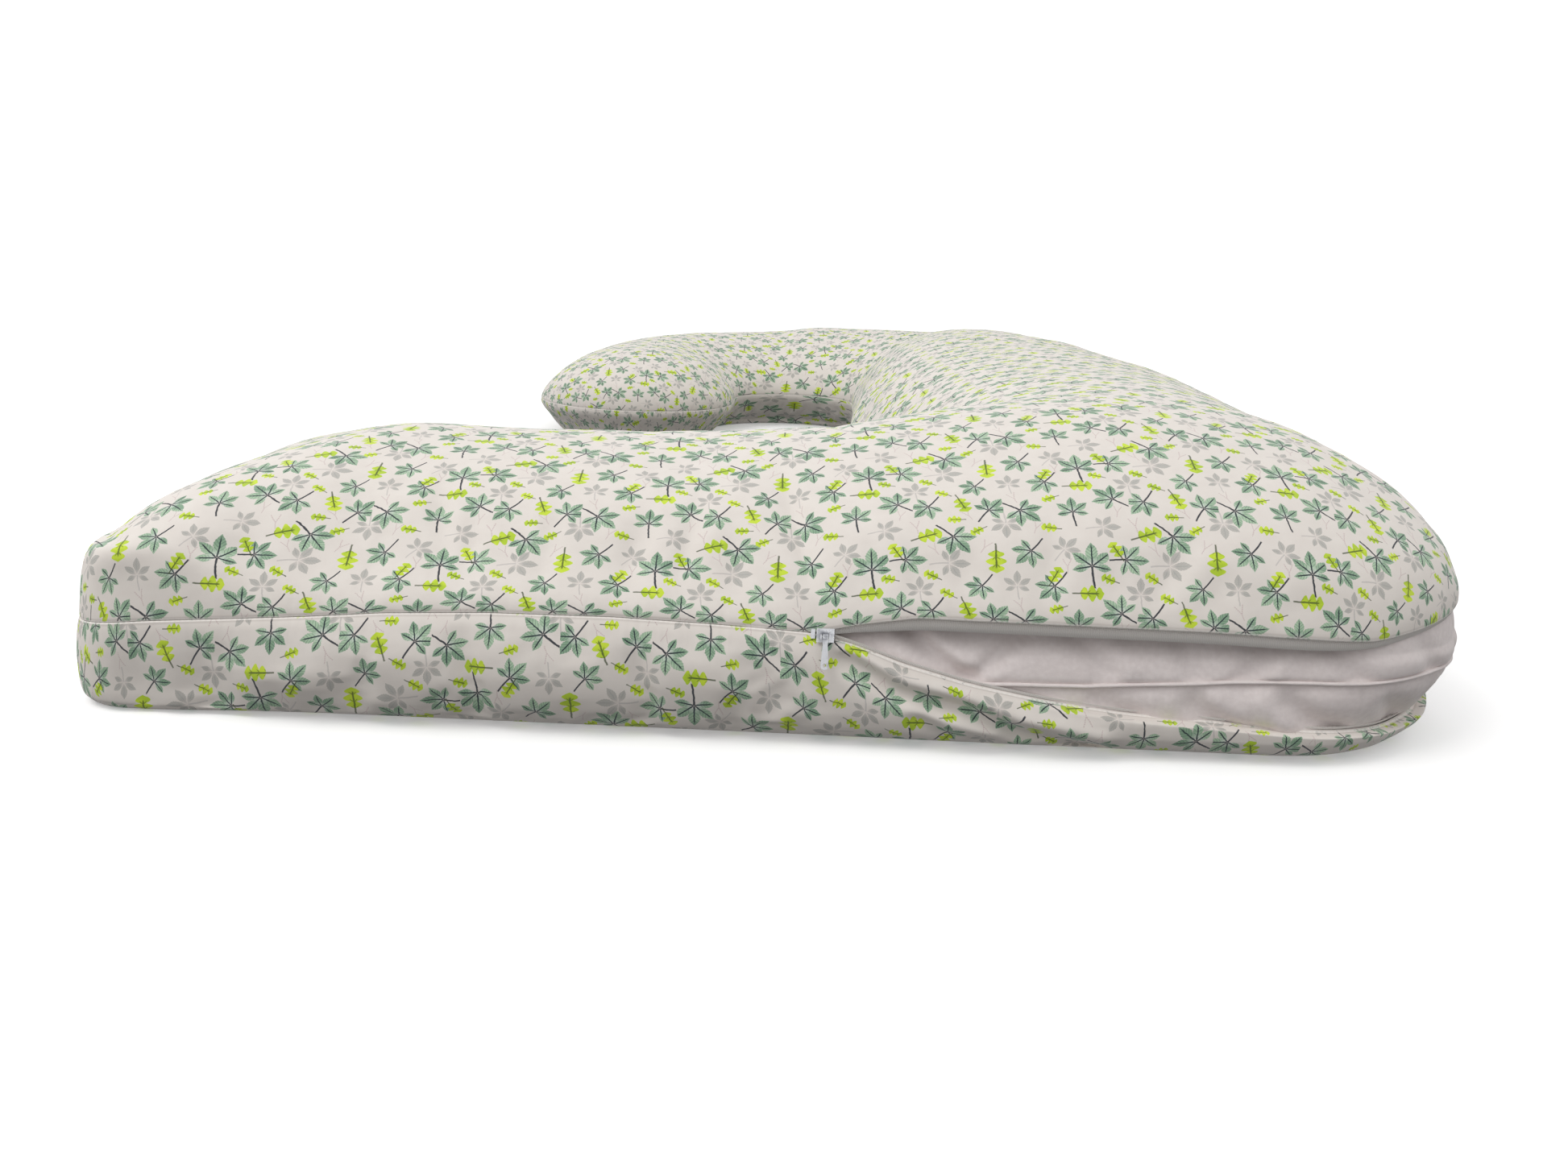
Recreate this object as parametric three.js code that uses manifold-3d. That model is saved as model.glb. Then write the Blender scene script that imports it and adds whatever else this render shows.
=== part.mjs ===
// C-shaped nursing and body pillow lying flat, with the zip of its cover open.
// Millimetres. +X right, +Y away, +Z up; the origin is under the middle, on the floor.
// A seam loop runs round the plan, and every skin is a set of rings between it and the spine line.
import * as THREE from 'three';
import { mergeVertices } from 'three/addons/utils/BufferGeometryUtils.js';
import Module from 'manifold-3d';

const wasm = await Module();
wasm.setup();

// Overall size and plan of the seam loop
const WIDTH = 814;
const LENGTH = 1540;
const BULGE = 10;
const LIMB = 300;
const RIGHT = WIDTH / 2 - BULGE;
const LEFT = -RIGHT;
const FRONT = -LENGTH / 2 + BULGE;
const BACK = -FRONT;
const ARM_INNER = FRONT + LIMB;
const SPINE_BOW = 38;
const CORNER_X = RIGHT - SPINE_BOW;
const SPINE_INNER = 37;
const HOOK_INNER = 58;
const INNER_CORNER = 65;
const OUTER_CORNER = 105;
const HOOK_GAP = 80;
const HOOK_X = HOOK_INNER - HOOK_GAP;
const HOOK_RADIUS = CORNER_X - HOOK_X;
const HOOK_Y = BACK - HOOK_RADIUS;
const TIP_STRAIGHT = 60;
const END_CORNER = 32;
const END_FAN = 150;
const TIP_NARROWER = 60;

// Heights and cross-section
const CREST_ARM = 132;
const CREST_SPINE = 162;
const CREST_HOOK = 120;
const CREST_TIP = 108;
const SEAM_Z = 59;
const CASE_SEAM_Z = 36;
const DOME_FRONT = 1.6;
const DOME_SPINE = 2.6;
const DOME_END = 1.8;
const DOME_STEPS = [0, 0.04, 0.13, 0.3, 0.6, 1];

// Layers: cloth thickness, the clear gap between neighbours, and how far in each layer lies
const CLOTH = 1;
const GAP = 0.4;
const CASE_SIDE_INSET = 8;
const CASE_INSET = CLOTH + GAP;
const FILL_INSET = CASE_INSET + CLOTH + GAP;
const RIDGE_STANDS = 3;

// Zip: where it starts and ends, and its pieces
const ZIP_START_X = -12;
const ZIP_END_Y = -560;
const TAPE_TALL = 5;
const TAPE_FROM_CENTRE = 1.2;
const COIL_RADIUS = 1;
const COIL_OUT = 1.4;
const COIL_FROM_CENTRE = 2.4;
const STOP_LONG = 2.2;
const SLIDER = { long: 9, tall: 7.2, plate: 1, inside: 4.7 };
const PIN = { out: 6.1, radius: 0.5, cheek: 0.8, cheekGap: 3.6 };
const PULL = { long: 17, wide: 4, thick: 0.9, eye: 1.4, tilt: 26 };

// How the lower lip hangs once it is unzipped: its lowest height, its lean, and its slopes
const LIP_SAG_Z = 13;
const LIP_LEAN = 4;
const LIP_SLOPE = 0.27;
const LIP_RUN = 190;
const LIP_RETURN = 90;

const smooth = (x) => {
  const k = Math.min(Math.max(x, 0), 1);
  return k * k * (3 - 2 * k);
};
const mix = (a, b, k) => a + (b - a) * k;

function arc(cx, cy, radius, from, to, steps) {
  const points = [];
  for (let k = 0; k <= steps; k += 1) {
    const angle = THREE.MathUtils.degToRad(mix(from, to, k / steps));
    points.push([cx + radius * Math.cos(angle), cy + radius * Math.sin(angle)]);
  }
  return points;
}

function between(a, b, steps) {
  const points = [];
  for (let k = 0; k <= steps; k += 1) points.push([mix(a[0], b[0], k / steps), mix(a[1], b[1], k / steps)]);
  return points;
}

// Points at equal distances along a line of points
function resample(points, count) {
  const lengths = [0];
  for (let k = 1; k < points.length; k += 1) {
    const step = Math.hypot(points[k][0] - points[k - 1][0], points[k][1] - points[k - 1][1]);
    lengths.push(lengths[k - 1] + step);
  }
  const total = lengths[lengths.length - 1];
  const result = [];
  for (let k = 0; k <= count; k += 1) {
    const want = (total * k) / count;
    let j = 1;
    while (j < lengths.length - 1 && lengths[j] < want) j += 1;
    const share = (want - lengths[j - 1]) / (lengths[j] - lengths[j - 1]);
    const [a, b] = [points[j - 1], points[j]];
    result.push([mix(a[0], b[0], share), mix(a[1], b[1], share)]);
  }
  return result;
}

// The spine bows outward between the corner and the hook, and its inner edge leans out near the hook
function spineOuterX(y) {
  const along = (y - FRONT - OUTER_CORNER) / (HOOK_Y - FRONT - OUTER_CORNER);
  return CORNER_X + SPINE_BOW * Math.sin(Math.PI * along) ** 2;
}

const spineInnerX = (y) => mix(SPINE_INNER, HOOK_INNER, smooth((y + 100) / (HOOK_Y + 100)));

// Stations: pairs of points on the outer and inner seam lines, from the square end to the tip
function makeStations() {
  const stations = [];
  const addPairs = (outer, inner) => {
    outer.forEach((point, k) => stations.push({ outer: point, inner: inner[k] }));
  };
  const aroundSlider = [-8, 0, 12, 28].map((step) => ZIP_START_X + step);
  const armX = [LEFT + END_FAN, -130, -60, ...aroundSlider];
  const armInnerX = armX.map((x) => Math.min(x, SPINE_INNER - INNER_CORNER - 32 + x / 2));
  addPairs(armX.map((x) => [x, FRONT]), armInnerX.map((x) => [x, ARM_INNER]));
  const cornerY = FRONT + OUTER_CORNER;
  const turnY = ARM_INNER + INNER_CORNER;
  const turnX = SPINE_INNER - INNER_CORNER;
  const spineStart = turnY + 20;
  const cornerOuter = [
    ...between([ZIP_START_X + 50, FRONT], [CORNER_X - OUTER_CORNER, FRONT], 8),
    ...arc(CORNER_X - OUTER_CORNER, cornerY, OUTER_CORNER, -90, 0, 12),
    ...between([0, cornerY], [0, spineStart], 8).map(([, y]) => [spineOuterX(y), y]),
  ];
  const cornerInner = [
    ...between([turnX - 2, ARM_INNER], [turnX, ARM_INNER], 1),
    ...arc(turnX, turnY, INNER_CORNER, -90, 0, 12),
    ...between([SPINE_INNER, turnY], [SPINE_INNER, turnY + 8], 1),
  ];
  addPairs(resample(cornerOuter, 14), resample(cornerInner, 14));
  const spineY = [1, 2, 3, 4, 5, 6].map((k) => mix(spineStart, HOOK_Y, k / 7));
  addPairs(spineY.map((y) => [spineOuterX(y), y]), spineY.map((y) => [spineInnerX(y), y]));
  const hookOuter = arc(HOOK_X, HOOK_Y, HOOK_RADIUS, 0, 180, 12);
  const narrowed = hookOuter.map(([x, y], k) => [x + TIP_NARROWER * smooth(k / 12), y]);
  addPairs(narrowed, arc(HOOK_X, HOOK_Y, HOOK_GAP, 0, 180, 12));
  const tipY = HOOK_Y - TIP_STRAIGHT;
  addPairs([[HOOK_X - HOOK_RADIUS + TIP_NARROWER, tipY]], [[HOOK_X - HOOK_GAP, tipY]]);
  return stations;
}

// The closed seam loop, anticlockwise, each point with its outward normal and its spine point
function makeLoop(stations) {
  const last = stations.length - 1;
  const loop = stations.map((station, k) => ({ at: station.outer, spine: k }));
  const tip = stations[last];
  const radius = (tip.inner[0] - tip.outer[0]) / 2;
  const tipX = (tip.inner[0] + tip.outer[0]) / 2;
  arc(tipX, tip.outer[1], radius, 180, 360, 8).slice(1, -1).forEach((at) => loop.push({ at, spine: last }));
  for (let k = last; k >= 0; k -= 1) loop.push({ at: stations[k].inner, spine: k });
  const end = [
    ...arc(LEFT + END_CORNER, ARM_INNER - END_CORNER, END_CORNER, 90, 180, 3),
    [LEFT, (FRONT + ARM_INNER) / 2 + 40],
    [LEFT, (FRONT + ARM_INNER) / 2 - 40],
    ...arc(LEFT + END_CORNER, FRONT + END_CORNER, END_CORNER, 180, 270, 3),
  ];
  end.forEach((at) => loop.push({ at, spine: 0 }));
  const count = loop.length;
  loop.forEach((point, k) => {
    const before = loop[(k + count - 1) % count].at;
    const after = loop[(k + 1) % count].at;
    const a = new THREE.Vector2(point.at[1] - before[1], before[0] - point.at[0]).normalize();
    const b = new THREE.Vector2(after[1] - point.at[1], point.at[0] - after[0]).normalize();
    point.normal = a.add(b).normalize();
    const back = mix(DOME_FRONT, DOME_SPINE, smooth((point.at[1] - FRONT - 80) / 250));
    point.dome = mix(DOME_END, back, smooth((point.at[0] - LEFT) / END_FAN));
  });
  return loop;
}

const stations = makeStations();
const loop = makeLoop(stations);
const spine = stations.map((station, k) => {
  const x = (station.outer[0] + station.inner[0]) / 2;
  const y = (station.outer[1] + station.inner[1]) / 2;
  const toSpine = smooth((x - LEFT - END_FAN) / (CORNER_X - LIMB / 2 - LEFT - END_FAN));
  const upSpine = smooth((y - 100) / (BACK - 150));
  const toTip = smooth((k - stations.length + 10) / 9);
  const body = mix(mix(CREST_ARM, CREST_SPINE, toSpine), CREST_HOOK, upSpine);
  return { x, y, crest: y > 0 && x < HOOK_X ? mix(CREST_HOOK, CREST_TIP, toTip) : body };
});

// Distance along the zip for loop points between its start and end, or null elsewhere
let zipRun = 0;
loop.forEach((point, k) => {
  const [x, y] = point.at;
  const onZip = k < stations.length && x >= ZIP_START_X && y <= ZIP_END_Y;
  if (onZip) {
    const before = loop[k - 1].at;
    zipRun += point.at[0] === ZIP_START_X ? 0 : Math.hypot(x - before[0], y - before[1]);
    point.zip = zipRun;
  } else {
    point.zip = null;
  }
});
const zipPoints = loop.filter((point) => point.zip !== null);
const zipLength = zipPoints[zipPoints.length - 1].zip;

// Rings of a skin: wall rings are an outward distance and a height, dome rings a share of the way in
const wallRings = [
  { out: 0, z: SEAM_Z },
  { out: 7, z: 46 },
  { out: 10, z: 29 },
  { out: 7, z: 13 },
  { out: -3, z: 3.5 },
  { out: -24, z: 0 },
];
const domeRings = DOME_STEPS.map((share) => ({ share }));

// How far the side wall stands out at a height
function wallOut(z) {
  const k = wallRings.findIndex((ring) => ring.z <= z);
  if (k < 1) return k === 0 ? 0 : wallRings[wallRings.length - 1].out;
  const [above, below] = [wallRings[k - 1], wallRings[k]];
  return mix(below.out, above.out, (z - below.z) / (above.z - below.z));
}

// The lower lip drops from the slider, hangs low along the opening and climbs back at its end
function lipAt(run) {
  const start = SEAM_Z - TAPE_FROM_CENTRE - TAPE_TALL - 0.3;
  const sloped = Math.min(LIP_SLOPE * run, start - LIP_SAG_Z);
  const eased = mix(sloped, (start - LIP_SAG_Z) * smooth(run / LIP_RUN), smooth((run - 40) / 80));
  const drop = eased * smooth((zipLength - run) / LIP_RETURN);
  const fall = drop / (start - LIP_SAG_Z);
  const z = start - drop;
  const out = wallOut(z + 2) * smooth((run - 12) / 30) + LIP_LEAN * fall ** 2;
  return { z, out, fall };
}

function place(point, ring, layer) {
  const centre = spine[point.spine];
  const side = (ring.out ?? 0) - layer.side;
  const x = point.at[0] + point.normal.x * side;
  const y = point.at[1] + point.normal.y * side;
  if (ring.share === undefined) {
    return [x, y, mix(layer.up, SEAM_Z, ring.z / SEAM_Z)];
  }
  const foot = layer.foot ?? SEAM_Z;
  const rise = (1 - (1 - ring.share) ** point.dome) ** (1 / point.dome);
  const z = mix(foot, centre.crest - layer.up, rise);
  return [mix(x, centre.x, ring.share), mix(y, centre.y, ring.share), z];
}

// A closed mesh built from numbered corners
function solid(points, faces) {
  const geometry = new THREE.BufferGeometry();
  geometry.setAttribute('position', new THREE.Float32BufferAttribute(points.flat(), 3));
  geometry.setIndex(faces.flat());
  const flat = geometry.toNonIndexed();
  flat.computeVertexNormals();
  return flat;
}

// One skin from its rim ring to the spine line: its corners and its faces, seen from outside
function skin(rows, closing, points, upward) {
  const count = loop.length;
  const first = points.length;
  rows.forEach((row) => row.forEach((corner) => points.push(corner)));
  const spineFirst = points.length;
  closing.forEach((corner) => points.push(corner));
  const faces = [];
  const add = (a, b, c) => faces.push(upward ? [a, b, c] : [a, c, b]);
  for (let k = 0; k < count; k += 1) {
    const next = (k + 1) % count;
    for (let r = 0; r < rows.length - 1; r += 1) {
      const a = first + r * count;
      const b = a + count;
      add(a + k, a + next, b + next);
      add(a + k, b + next, b + k);
    }
    const edge = first + (rows.length - 1) * count;
    const here = spineFirst + loop[k].spine;
    const there = spineFirst + loop[next].spine;
    add(edge + k, edge + next, there);
    if (here !== there) add(edge + k, there, here);
  }
  return { first, faces };
}

function joinRims(firstOuter, firstInner, upward) {
  const faces = [];
  const count = loop.length;
  for (let k = 0; k < count; k += 1) {
    const next = (k + 1) % count;
    const [a, b, c, d] = [firstOuter + k, firstOuter + next, firstInner + next, firstInner + k];
    faces.push(upward ? [a, c, b] : [a, b, c], upward ? [a, d, c] : [a, c, d]);
  }
  return faces;
}

// Rows of corners for one side of a layer; ring 0 may be moved for each point by the rim function
function rowsFor(rings, layer, rim) {
  return rings.slice(0, -1).map((ring, r) => loop.map((point) => {
    const corner = place(point, ring, layer);
    return rim ? rim(point, r, corner, layer) : corner;
  }));
}

function closingFor(rings, layer) {
  const isDome = rings[rings.length - 1].share !== undefined;
  return spine.map((centre) => [centre.x, centre.y, isDome ? centre.crest - layer.up : layer.up]);
}

function shell(rings, outerLayer, innerLayer, upward, rim) {
  const points = [];
  const outside = skin(rowsFor(rings, outerLayer, rim), closingFor(rings, outerLayer), points, upward);
  const inside = skin(rowsFor(rings, innerLayer, rim), closingFor(rings, innerLayer), points, !upward);
  const edges = joinRims(outside.first, inside.first, upward);
  return solid(points, [...outside.faces, ...inside.faces, ...edges]);
}

// The top panel of the cover: its edge lifts to clear the zip tape along the zip
function coverTop() {
  const lipZ = SEAM_Z + TAPE_FROM_CENTRE + TAPE_TALL + 0.3;
  const rim = (point, r, corner) => {
    const floor = point.zip === null ? SEAM_Z + 0.2 : lipZ;
    const crest = spine[point.spine].crest;
    return [corner[0], corner[1], mix(floor, crest, (corner[2] - SEAM_Z) / (crest - SEAM_Z))];
  };
  return shell(domeRings, { side: 0, up: 0 }, { side: CLOTH, up: CLOTH }, true, rim);
}

// The bottom panel: a side wall and a flat base, with the lip hanging down along the open zip
const bottomRings = [...wallRings, { out: 0, z: 0 }];

function coverBottom() {
  const low = wallRings[4].z;
  const rim = (point, r, corner, layer) => {
    if (r > 3) return corner;
    if (point.zip === null) return r === 0 ? [corner[0], corner[1], SEAM_Z - 0.2] : corner;
    const lip = lipAt(point.zip);
    const z = mix(low, lip.z, (wallRings[r].z - low) / (SEAM_Z - low));
    const out = r === 0 ? lip.out : mix(wallRings[r].out, wallOut(z) + LIP_LEAN * lip.fall, lip.fall);
    return place(point, { out, z }, layer);
  };
  return shell(bottomRings, { side: 0, up: 0 }, { side: CLOTH, up: CLOTH }, false, rim);
}

// The inner case hides the filling: its panels meet low on the wall, under a standing ridge
const seamShare = (CASE_SEAM_Z - wallRings[2].z) / (wallRings[1].z - wallRings[2].z);
const caseSeam = { out: mix(10, 7, seamShare), z: CASE_SEAM_Z };
const caseOutside = { side: CASE_SIDE_INSET, up: CASE_INSET };
const caseInside = { side: CASE_SIDE_INSET + CLOTH, up: CASE_INSET + CLOTH };

function caseTop() {
  const rings = [{ ...caseSeam, z: CASE_SEAM_Z + 0.9 }, wallRings[1], ...domeRings];
  return shell(rings, caseOutside, caseInside, true);
}

function caseBottom() {
  const rings = [{ ...caseSeam, z: CASE_SEAM_Z - 1.2 }, ...wallRings.slice(2), { out: 0, z: 0 }];
  return shell(rings, caseOutside, caseInside, false);
}

function filling() {
  const layer = { side: CASE_SIDE_INSET + FILL_INSET - CASE_INSET, up: FILL_INSET };
  const points = [];
  const upper = skin(rowsFor(domeRings, layer), closingFor(domeRings, layer), points, true);
  const lower = skin(rowsFor(bottomRings, layer), closingFor(bottomRings, layer), points, false);
  const count = loop.length;
  const shared = (corner) => {
    const onRim = corner >= lower.first && corner < lower.first + count;
    return onRim ? corner - lower.first + upper.first : corner;
  };
  const faces = [...upper.faces, ...lower.faces].map((face) => face.map(shared));
  return solid(points, faces);
}

// A ribbon: a small section carried along loop points, with capped ends unless it closes on itself
function ribbon(path, sectionAt, closed) {
  const points = [];
  const faces = [];
  const size = sectionAt(path[0]).length;
  path.forEach((point) => sectionAt(point).forEach(([out, z]) => {
    points.push([point.at[0] + point.normal.x * out, point.at[1] + point.normal.y * out, z]);
  }));
  const lastStep = closed ? path.length : path.length - 1;
  for (let k = 0; k < lastStep; k += 1) {
    const next = (k + 1) % path.length;
    for (let s = 0; s < size; s += 1) {
      const [a, b] = [k * size + s, k * size + (s + 1) % size];
      const [c, d] = [next * size + (s + 1) % size, next * size + s];
      faces.push([a, c, b], [a, d, c]);
    }
  }
  if (!closed) {
    const end = (path.length - 1) * size;
    for (let s = 1; s < size - 1; s += 1) faces.push([0, s, s + 1], [end, end + s + 1, end + s]);
  }
  return solid(points, faces);
}

const rectangle = (out0, out1, z0, z1) => [[out0, z0], [out1, z0], [out1, z1], [out0, z1]];

function round(out, z, radius, sides) {
  const section = [];
  for (let k = 0; k < sides; k += 1) {
    const angle = (2 * Math.PI * (k + 0.5)) / sides;
    section.push([out + radius * Math.cos(angle), z + radius * Math.sin(angle)]);
  }
  return section;
}

const upperTape = () => ribbon(zipPoints, () => {
  const z = SEAM_Z + TAPE_FROM_CENTRE;
  return rectangle(-CLOTH, 0, z, z + TAPE_TALL);
});

// The lower tape stands on the lip, whose inner edge is a cloth's thickness higher at most
const TAPE_LIFT = CLOTH + 0.2;
const lowerTape = () => ribbon(zipPoints, (point) => {
  const lip = lipAt(point.zip);
  return rectangle(lip.out - CLOTH, lip.out, lip.z + TAPE_LIFT, lip.z + TAPE_TALL);
});

// Coils start clear of the stop, so their first point is moved along to the slider's end
const coilStart = ZIP_START_X + STOP_LONG + 1;
const coilPath = [
  { at: [coilStart, FRONT], normal: new THREE.Vector2(0, -1), zip: coilStart - ZIP_START_X },
  ...zipPoints.slice(1, -1),
];

const upperCoil = () => ribbon(coilPath, () => round(COIL_OUT, SEAM_Z + COIL_FROM_CENTRE, COIL_RADIUS, 6));

const lowerCoil = () => ribbon(coilPath, (point) => {
  const lip = lipAt(point.zip);
  return round(lip.out + COIL_OUT, lip.z + TAPE_TALL - COIL_RADIUS - 0.2, COIL_RADIUS, 6);
});

const ridge = () => ribbon(loop, () => {
  const out = caseSeam.out - CASE_SIDE_INSET;
  return rectangle(out - 0.6, out + RIDGE_STANDS, CASE_SEAM_Z, CASE_SEAM_Z + CLOTH);
}, true);

// Solid modelling for the small zip parts
function toManifold(geometry) {
  const copy = geometry.clone();
  copy.deleteAttribute('normal');
  copy.deleteAttribute('uv');
  const merged = mergeVertices(copy, 1e-5);
  return new wasm.Manifold(new wasm.Mesh({
    numProp: 3,
    vertProperties: new Float32Array(merged.attributes.position.array),
    triVerts: new Uint32Array(merged.index.array),
  }));
}

function fromManifold(body) {
  const mesh = body.getMesh();
  const geometry = new THREE.BufferGeometry();
  geometry.setAttribute('position', new THREE.BufferAttribute(new Float32Array(mesh.vertProperties), 3));
  geometry.setIndex(new THREE.BufferAttribute(new Uint32Array(mesh.triVerts), 1));
  const flat = geometry.toNonIndexed();
  flat.computeVertexNormals();
  return flat;
}

function block(x, y, z, sizeX, sizeY, sizeZ) {
  return toManifold(new THREE.BoxGeometry(sizeX, sizeY, sizeZ).translate(x, y, z));
}

function barAlongX(radius, long, sides) {
  return toManifold(new THREE.CylinderGeometry(radius, radius, long, sides).rotateZ(Math.PI / 2));
}

// Slider, in its own frame: X along the zip, -Y outward, the middle of the zip at the origin
function sliderBody() {
  const back = 1.4 + SLIDER.plate / 2;
  const front = -(SLIDER.inside - 1.4) - SLIDER.plate / 2;
  const plateBack = block(0, back, 0, SLIDER.long, SLIDER.plate, SLIDER.tall);
  const plateFront = block(0, front, 0, SLIDER.long, SLIDER.plate, SLIDER.tall);
  const bridge = block(0, (back + front) / 2, 0, SLIDER.long, back - front, 1.4);
  const reach = PIN.out + 0.9 + front;
  const cheekX = (PIN.cheekGap + PIN.cheek) / 2;
  const cheeks = [-cheekX, cheekX].map((x) => block(x, front - reach / 2, 0, PIN.cheek, reach, 2.6));
  const pin = barAlongX(PIN.radius, PIN.cheekGap + PIN.cheek, 16).translate([0, -PIN.out, 0]);
  return [plateFront, bridge, ...cheeks, pin].reduce((body, piece) => body.add(piece), plateBack);
}

// Pull tab, in its own frame: hangs from the pin along -Z
function pullBody() {
  const eye = barAlongX(PULL.eye, PIN.cheekGap - 0.8, 20).subtract(barAlongX(PIN.radius + 0.35, 10, 20));
  const neck = block(0, 0, -PULL.eye - 0.9, PIN.cheekGap - 0.8, PULL.thick, 2.4);
  const outline = new THREE.Shape();
  const half = PULL.wide / 2;
  outline.moveTo(-1.2, -PULL.eye - 1.8);
  outline.lineTo(-half, -PULL.long + half);
  outline.absarc(0, -PULL.long + half, half, Math.PI, 2 * Math.PI, false);
  outline.lineTo(1.2, -PULL.eye - 1.8);
  outline.closePath();
  const hole = new THREE.Path();
  hole.absarc(0, -PULL.long + half + 0.3, 0.9, 0, 2 * Math.PI, false);
  outline.holes.push(hole);
  const settings = { depth: PULL.thick, bevelEnabled: false, curveSegments: 10 };
  const plate = new THREE.ExtrudeGeometry(outline, settings);
  plate.translate(0, 0, -PULL.thick / 2).rotateX(Math.PI / 2);
  return eye.add(neck).add(toManifold(plate));
}

const stopBlock = (tall) => fromManifold(block(0, 0, 0, STOP_LONG, 2, tall));

const group = new THREE.Group();
const colour = {
  print: '#e4dad3',
  printUnder: '#ded2ca',
  tape: '#eeebe6',
  coil: '#d9d6d0',
  metal: '#c9ccd0',
  case: '#d6cfca',
  fibre: '#f4f3f0',
};

function add(name, geometry, hex, roughness, metalness = 0) {
  const material = new THREE.MeshStandardMaterial({ color: hex, roughness, metalness });
  const mesh = new THREE.Mesh(geometry, material);
  mesh.name = name;
  group.add(mesh);
  return mesh;
}

add('cover_top_panel', coverTop(), colour.print, 0.9);
add('cover_bottom_panel', coverBottom(), colour.printUnder, 0.9);
add('inner_case_top_panel', caseTop(), colour.case, 0.85);
add('inner_case_bottom_panel', caseBottom(), colour.case, 0.85);
add('inner_case_seam', ridge(), colour.case, 0.85);
add('fibre_filling', filling(), colour.fibre, 1);
add('zip_tape_upper', upperTape(), colour.tape, 0.8);
add('zip_tape_lower', lowerTape(), colour.tape, 0.8);
add('zip_coil_upper', upperCoil(), colour.coil, 0.5);
add('zip_coil_lower', lowerCoil(), colour.coil, 0.5);

const bottomStop = add('zip_bottom_stop', stopBlock(5), colour.metal, 0.35, 0.9);
bottomStop.position.set(ZIP_START_X + 0.5 + STOP_LONG / 2, FRONT - COIL_OUT, SEAM_Z);

const zipEnd = zipPoints[zipPoints.length - 1];
const endAngle = Math.atan2(zipEnd.normal.y, zipEnd.normal.x) + Math.PI / 2;
const endLip = lipAt(zipEnd.zip);
const topStops = [
  ['zip_top_stop_upper', SEAM_Z + COIL_FROM_CENTRE, 0],
  ['zip_top_stop_lower', endLip.z + TAPE_TALL - COIL_RADIUS - 0.2, endLip.out + 0.8],
];
for (const [name, z, out] of topStops) {
  const stop = add(name, stopBlock(2.6), colour.metal, 0.35, 0.9);
  const reach = COIL_OUT + out;
  const [x, y] = zipEnd.at;
  stop.position.set(x + zipEnd.normal.x * reach, y + zipEnd.normal.y * reach - 4, z);
  stop.rotation.z = endAngle;
}

const sliderX = ZIP_START_X + STOP_LONG + 1.1 + SLIDER.long / 2;
const slider = add('zip_slider', fromManifold(sliderBody()), colour.metal, 0.3, 0.9);
slider.position.set(sliderX, FRONT, SEAM_Z);

const pull = add('zip_pull_tab', fromManifold(pullBody()), colour.metal, 0.3, 0.9);
pull.position.set(sliderX, FRONT - PIN.out, SEAM_Z);
pull.rotation.x = -THREE.MathUtils.degToRad(PULL.tilt);

export default group;
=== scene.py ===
"""A C-shaped nursing and body pillow lying flat, its zip open along one corner.

Every skin is a grid: a seam loop round the plan, and rings between that loop and the limbs'
middle line. Lengths are in millimetres until a mesh is made, which turns them into metres.
"""
import math

import bpy
import numpy as np
from mathutils import Matrix, Vector, noise


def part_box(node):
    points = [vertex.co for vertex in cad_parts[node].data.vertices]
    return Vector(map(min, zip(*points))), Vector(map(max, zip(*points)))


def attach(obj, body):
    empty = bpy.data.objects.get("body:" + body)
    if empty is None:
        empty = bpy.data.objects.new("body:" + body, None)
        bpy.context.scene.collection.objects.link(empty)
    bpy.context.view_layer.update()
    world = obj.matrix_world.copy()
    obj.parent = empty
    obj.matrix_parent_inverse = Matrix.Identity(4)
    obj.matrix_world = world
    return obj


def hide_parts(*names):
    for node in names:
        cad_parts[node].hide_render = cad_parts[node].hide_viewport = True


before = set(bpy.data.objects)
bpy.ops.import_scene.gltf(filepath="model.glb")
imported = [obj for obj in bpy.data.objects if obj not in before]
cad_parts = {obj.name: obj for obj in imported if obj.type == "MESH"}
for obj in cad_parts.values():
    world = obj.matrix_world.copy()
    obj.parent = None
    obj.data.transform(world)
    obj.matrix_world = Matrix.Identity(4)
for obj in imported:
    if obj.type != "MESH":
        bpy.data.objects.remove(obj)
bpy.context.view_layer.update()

MM = 0.001

# Strengths of the surroundings below, in front, behind and overhead, and the key light's watts
GROUND_GLOW, FRONT_GLOW, BACK_GLOW, SKY_GLOW, KEY_POWER = 0.15, 0.63, 1.15, 0.86, 27

# ---------------------------------------------------------------- driving dimensions
cover_low = np.array(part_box("cover_bottom_panel")[0]) / MM
BULGE = 10.0
LEFT = cover_low[0] + BULGE
FRONT = -760.0
BACK = 760.0
LIMB = 300.0
ARM_INNER = FRONT + LIMB
SPINE_BOW = 36.0
CORNER_X = 359.0
SPINE_INNER = 37.0
HOOK_INNER = 58.0
INNER_CORNER = 65.0
OUTER_CORNER = 105.0
HOOK_GAP = 80.0
HOOK_X = HOOK_INNER - HOOK_GAP
HOOK_RADIUS = CORNER_X - HOOK_X
HOOK_Y = BACK - HOOK_RADIUS
TIP_STRAIGHT = 60.0
TIP_NARROWER = 50.0
END_CORNER = 30.0
END_FAN = 150.0

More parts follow.
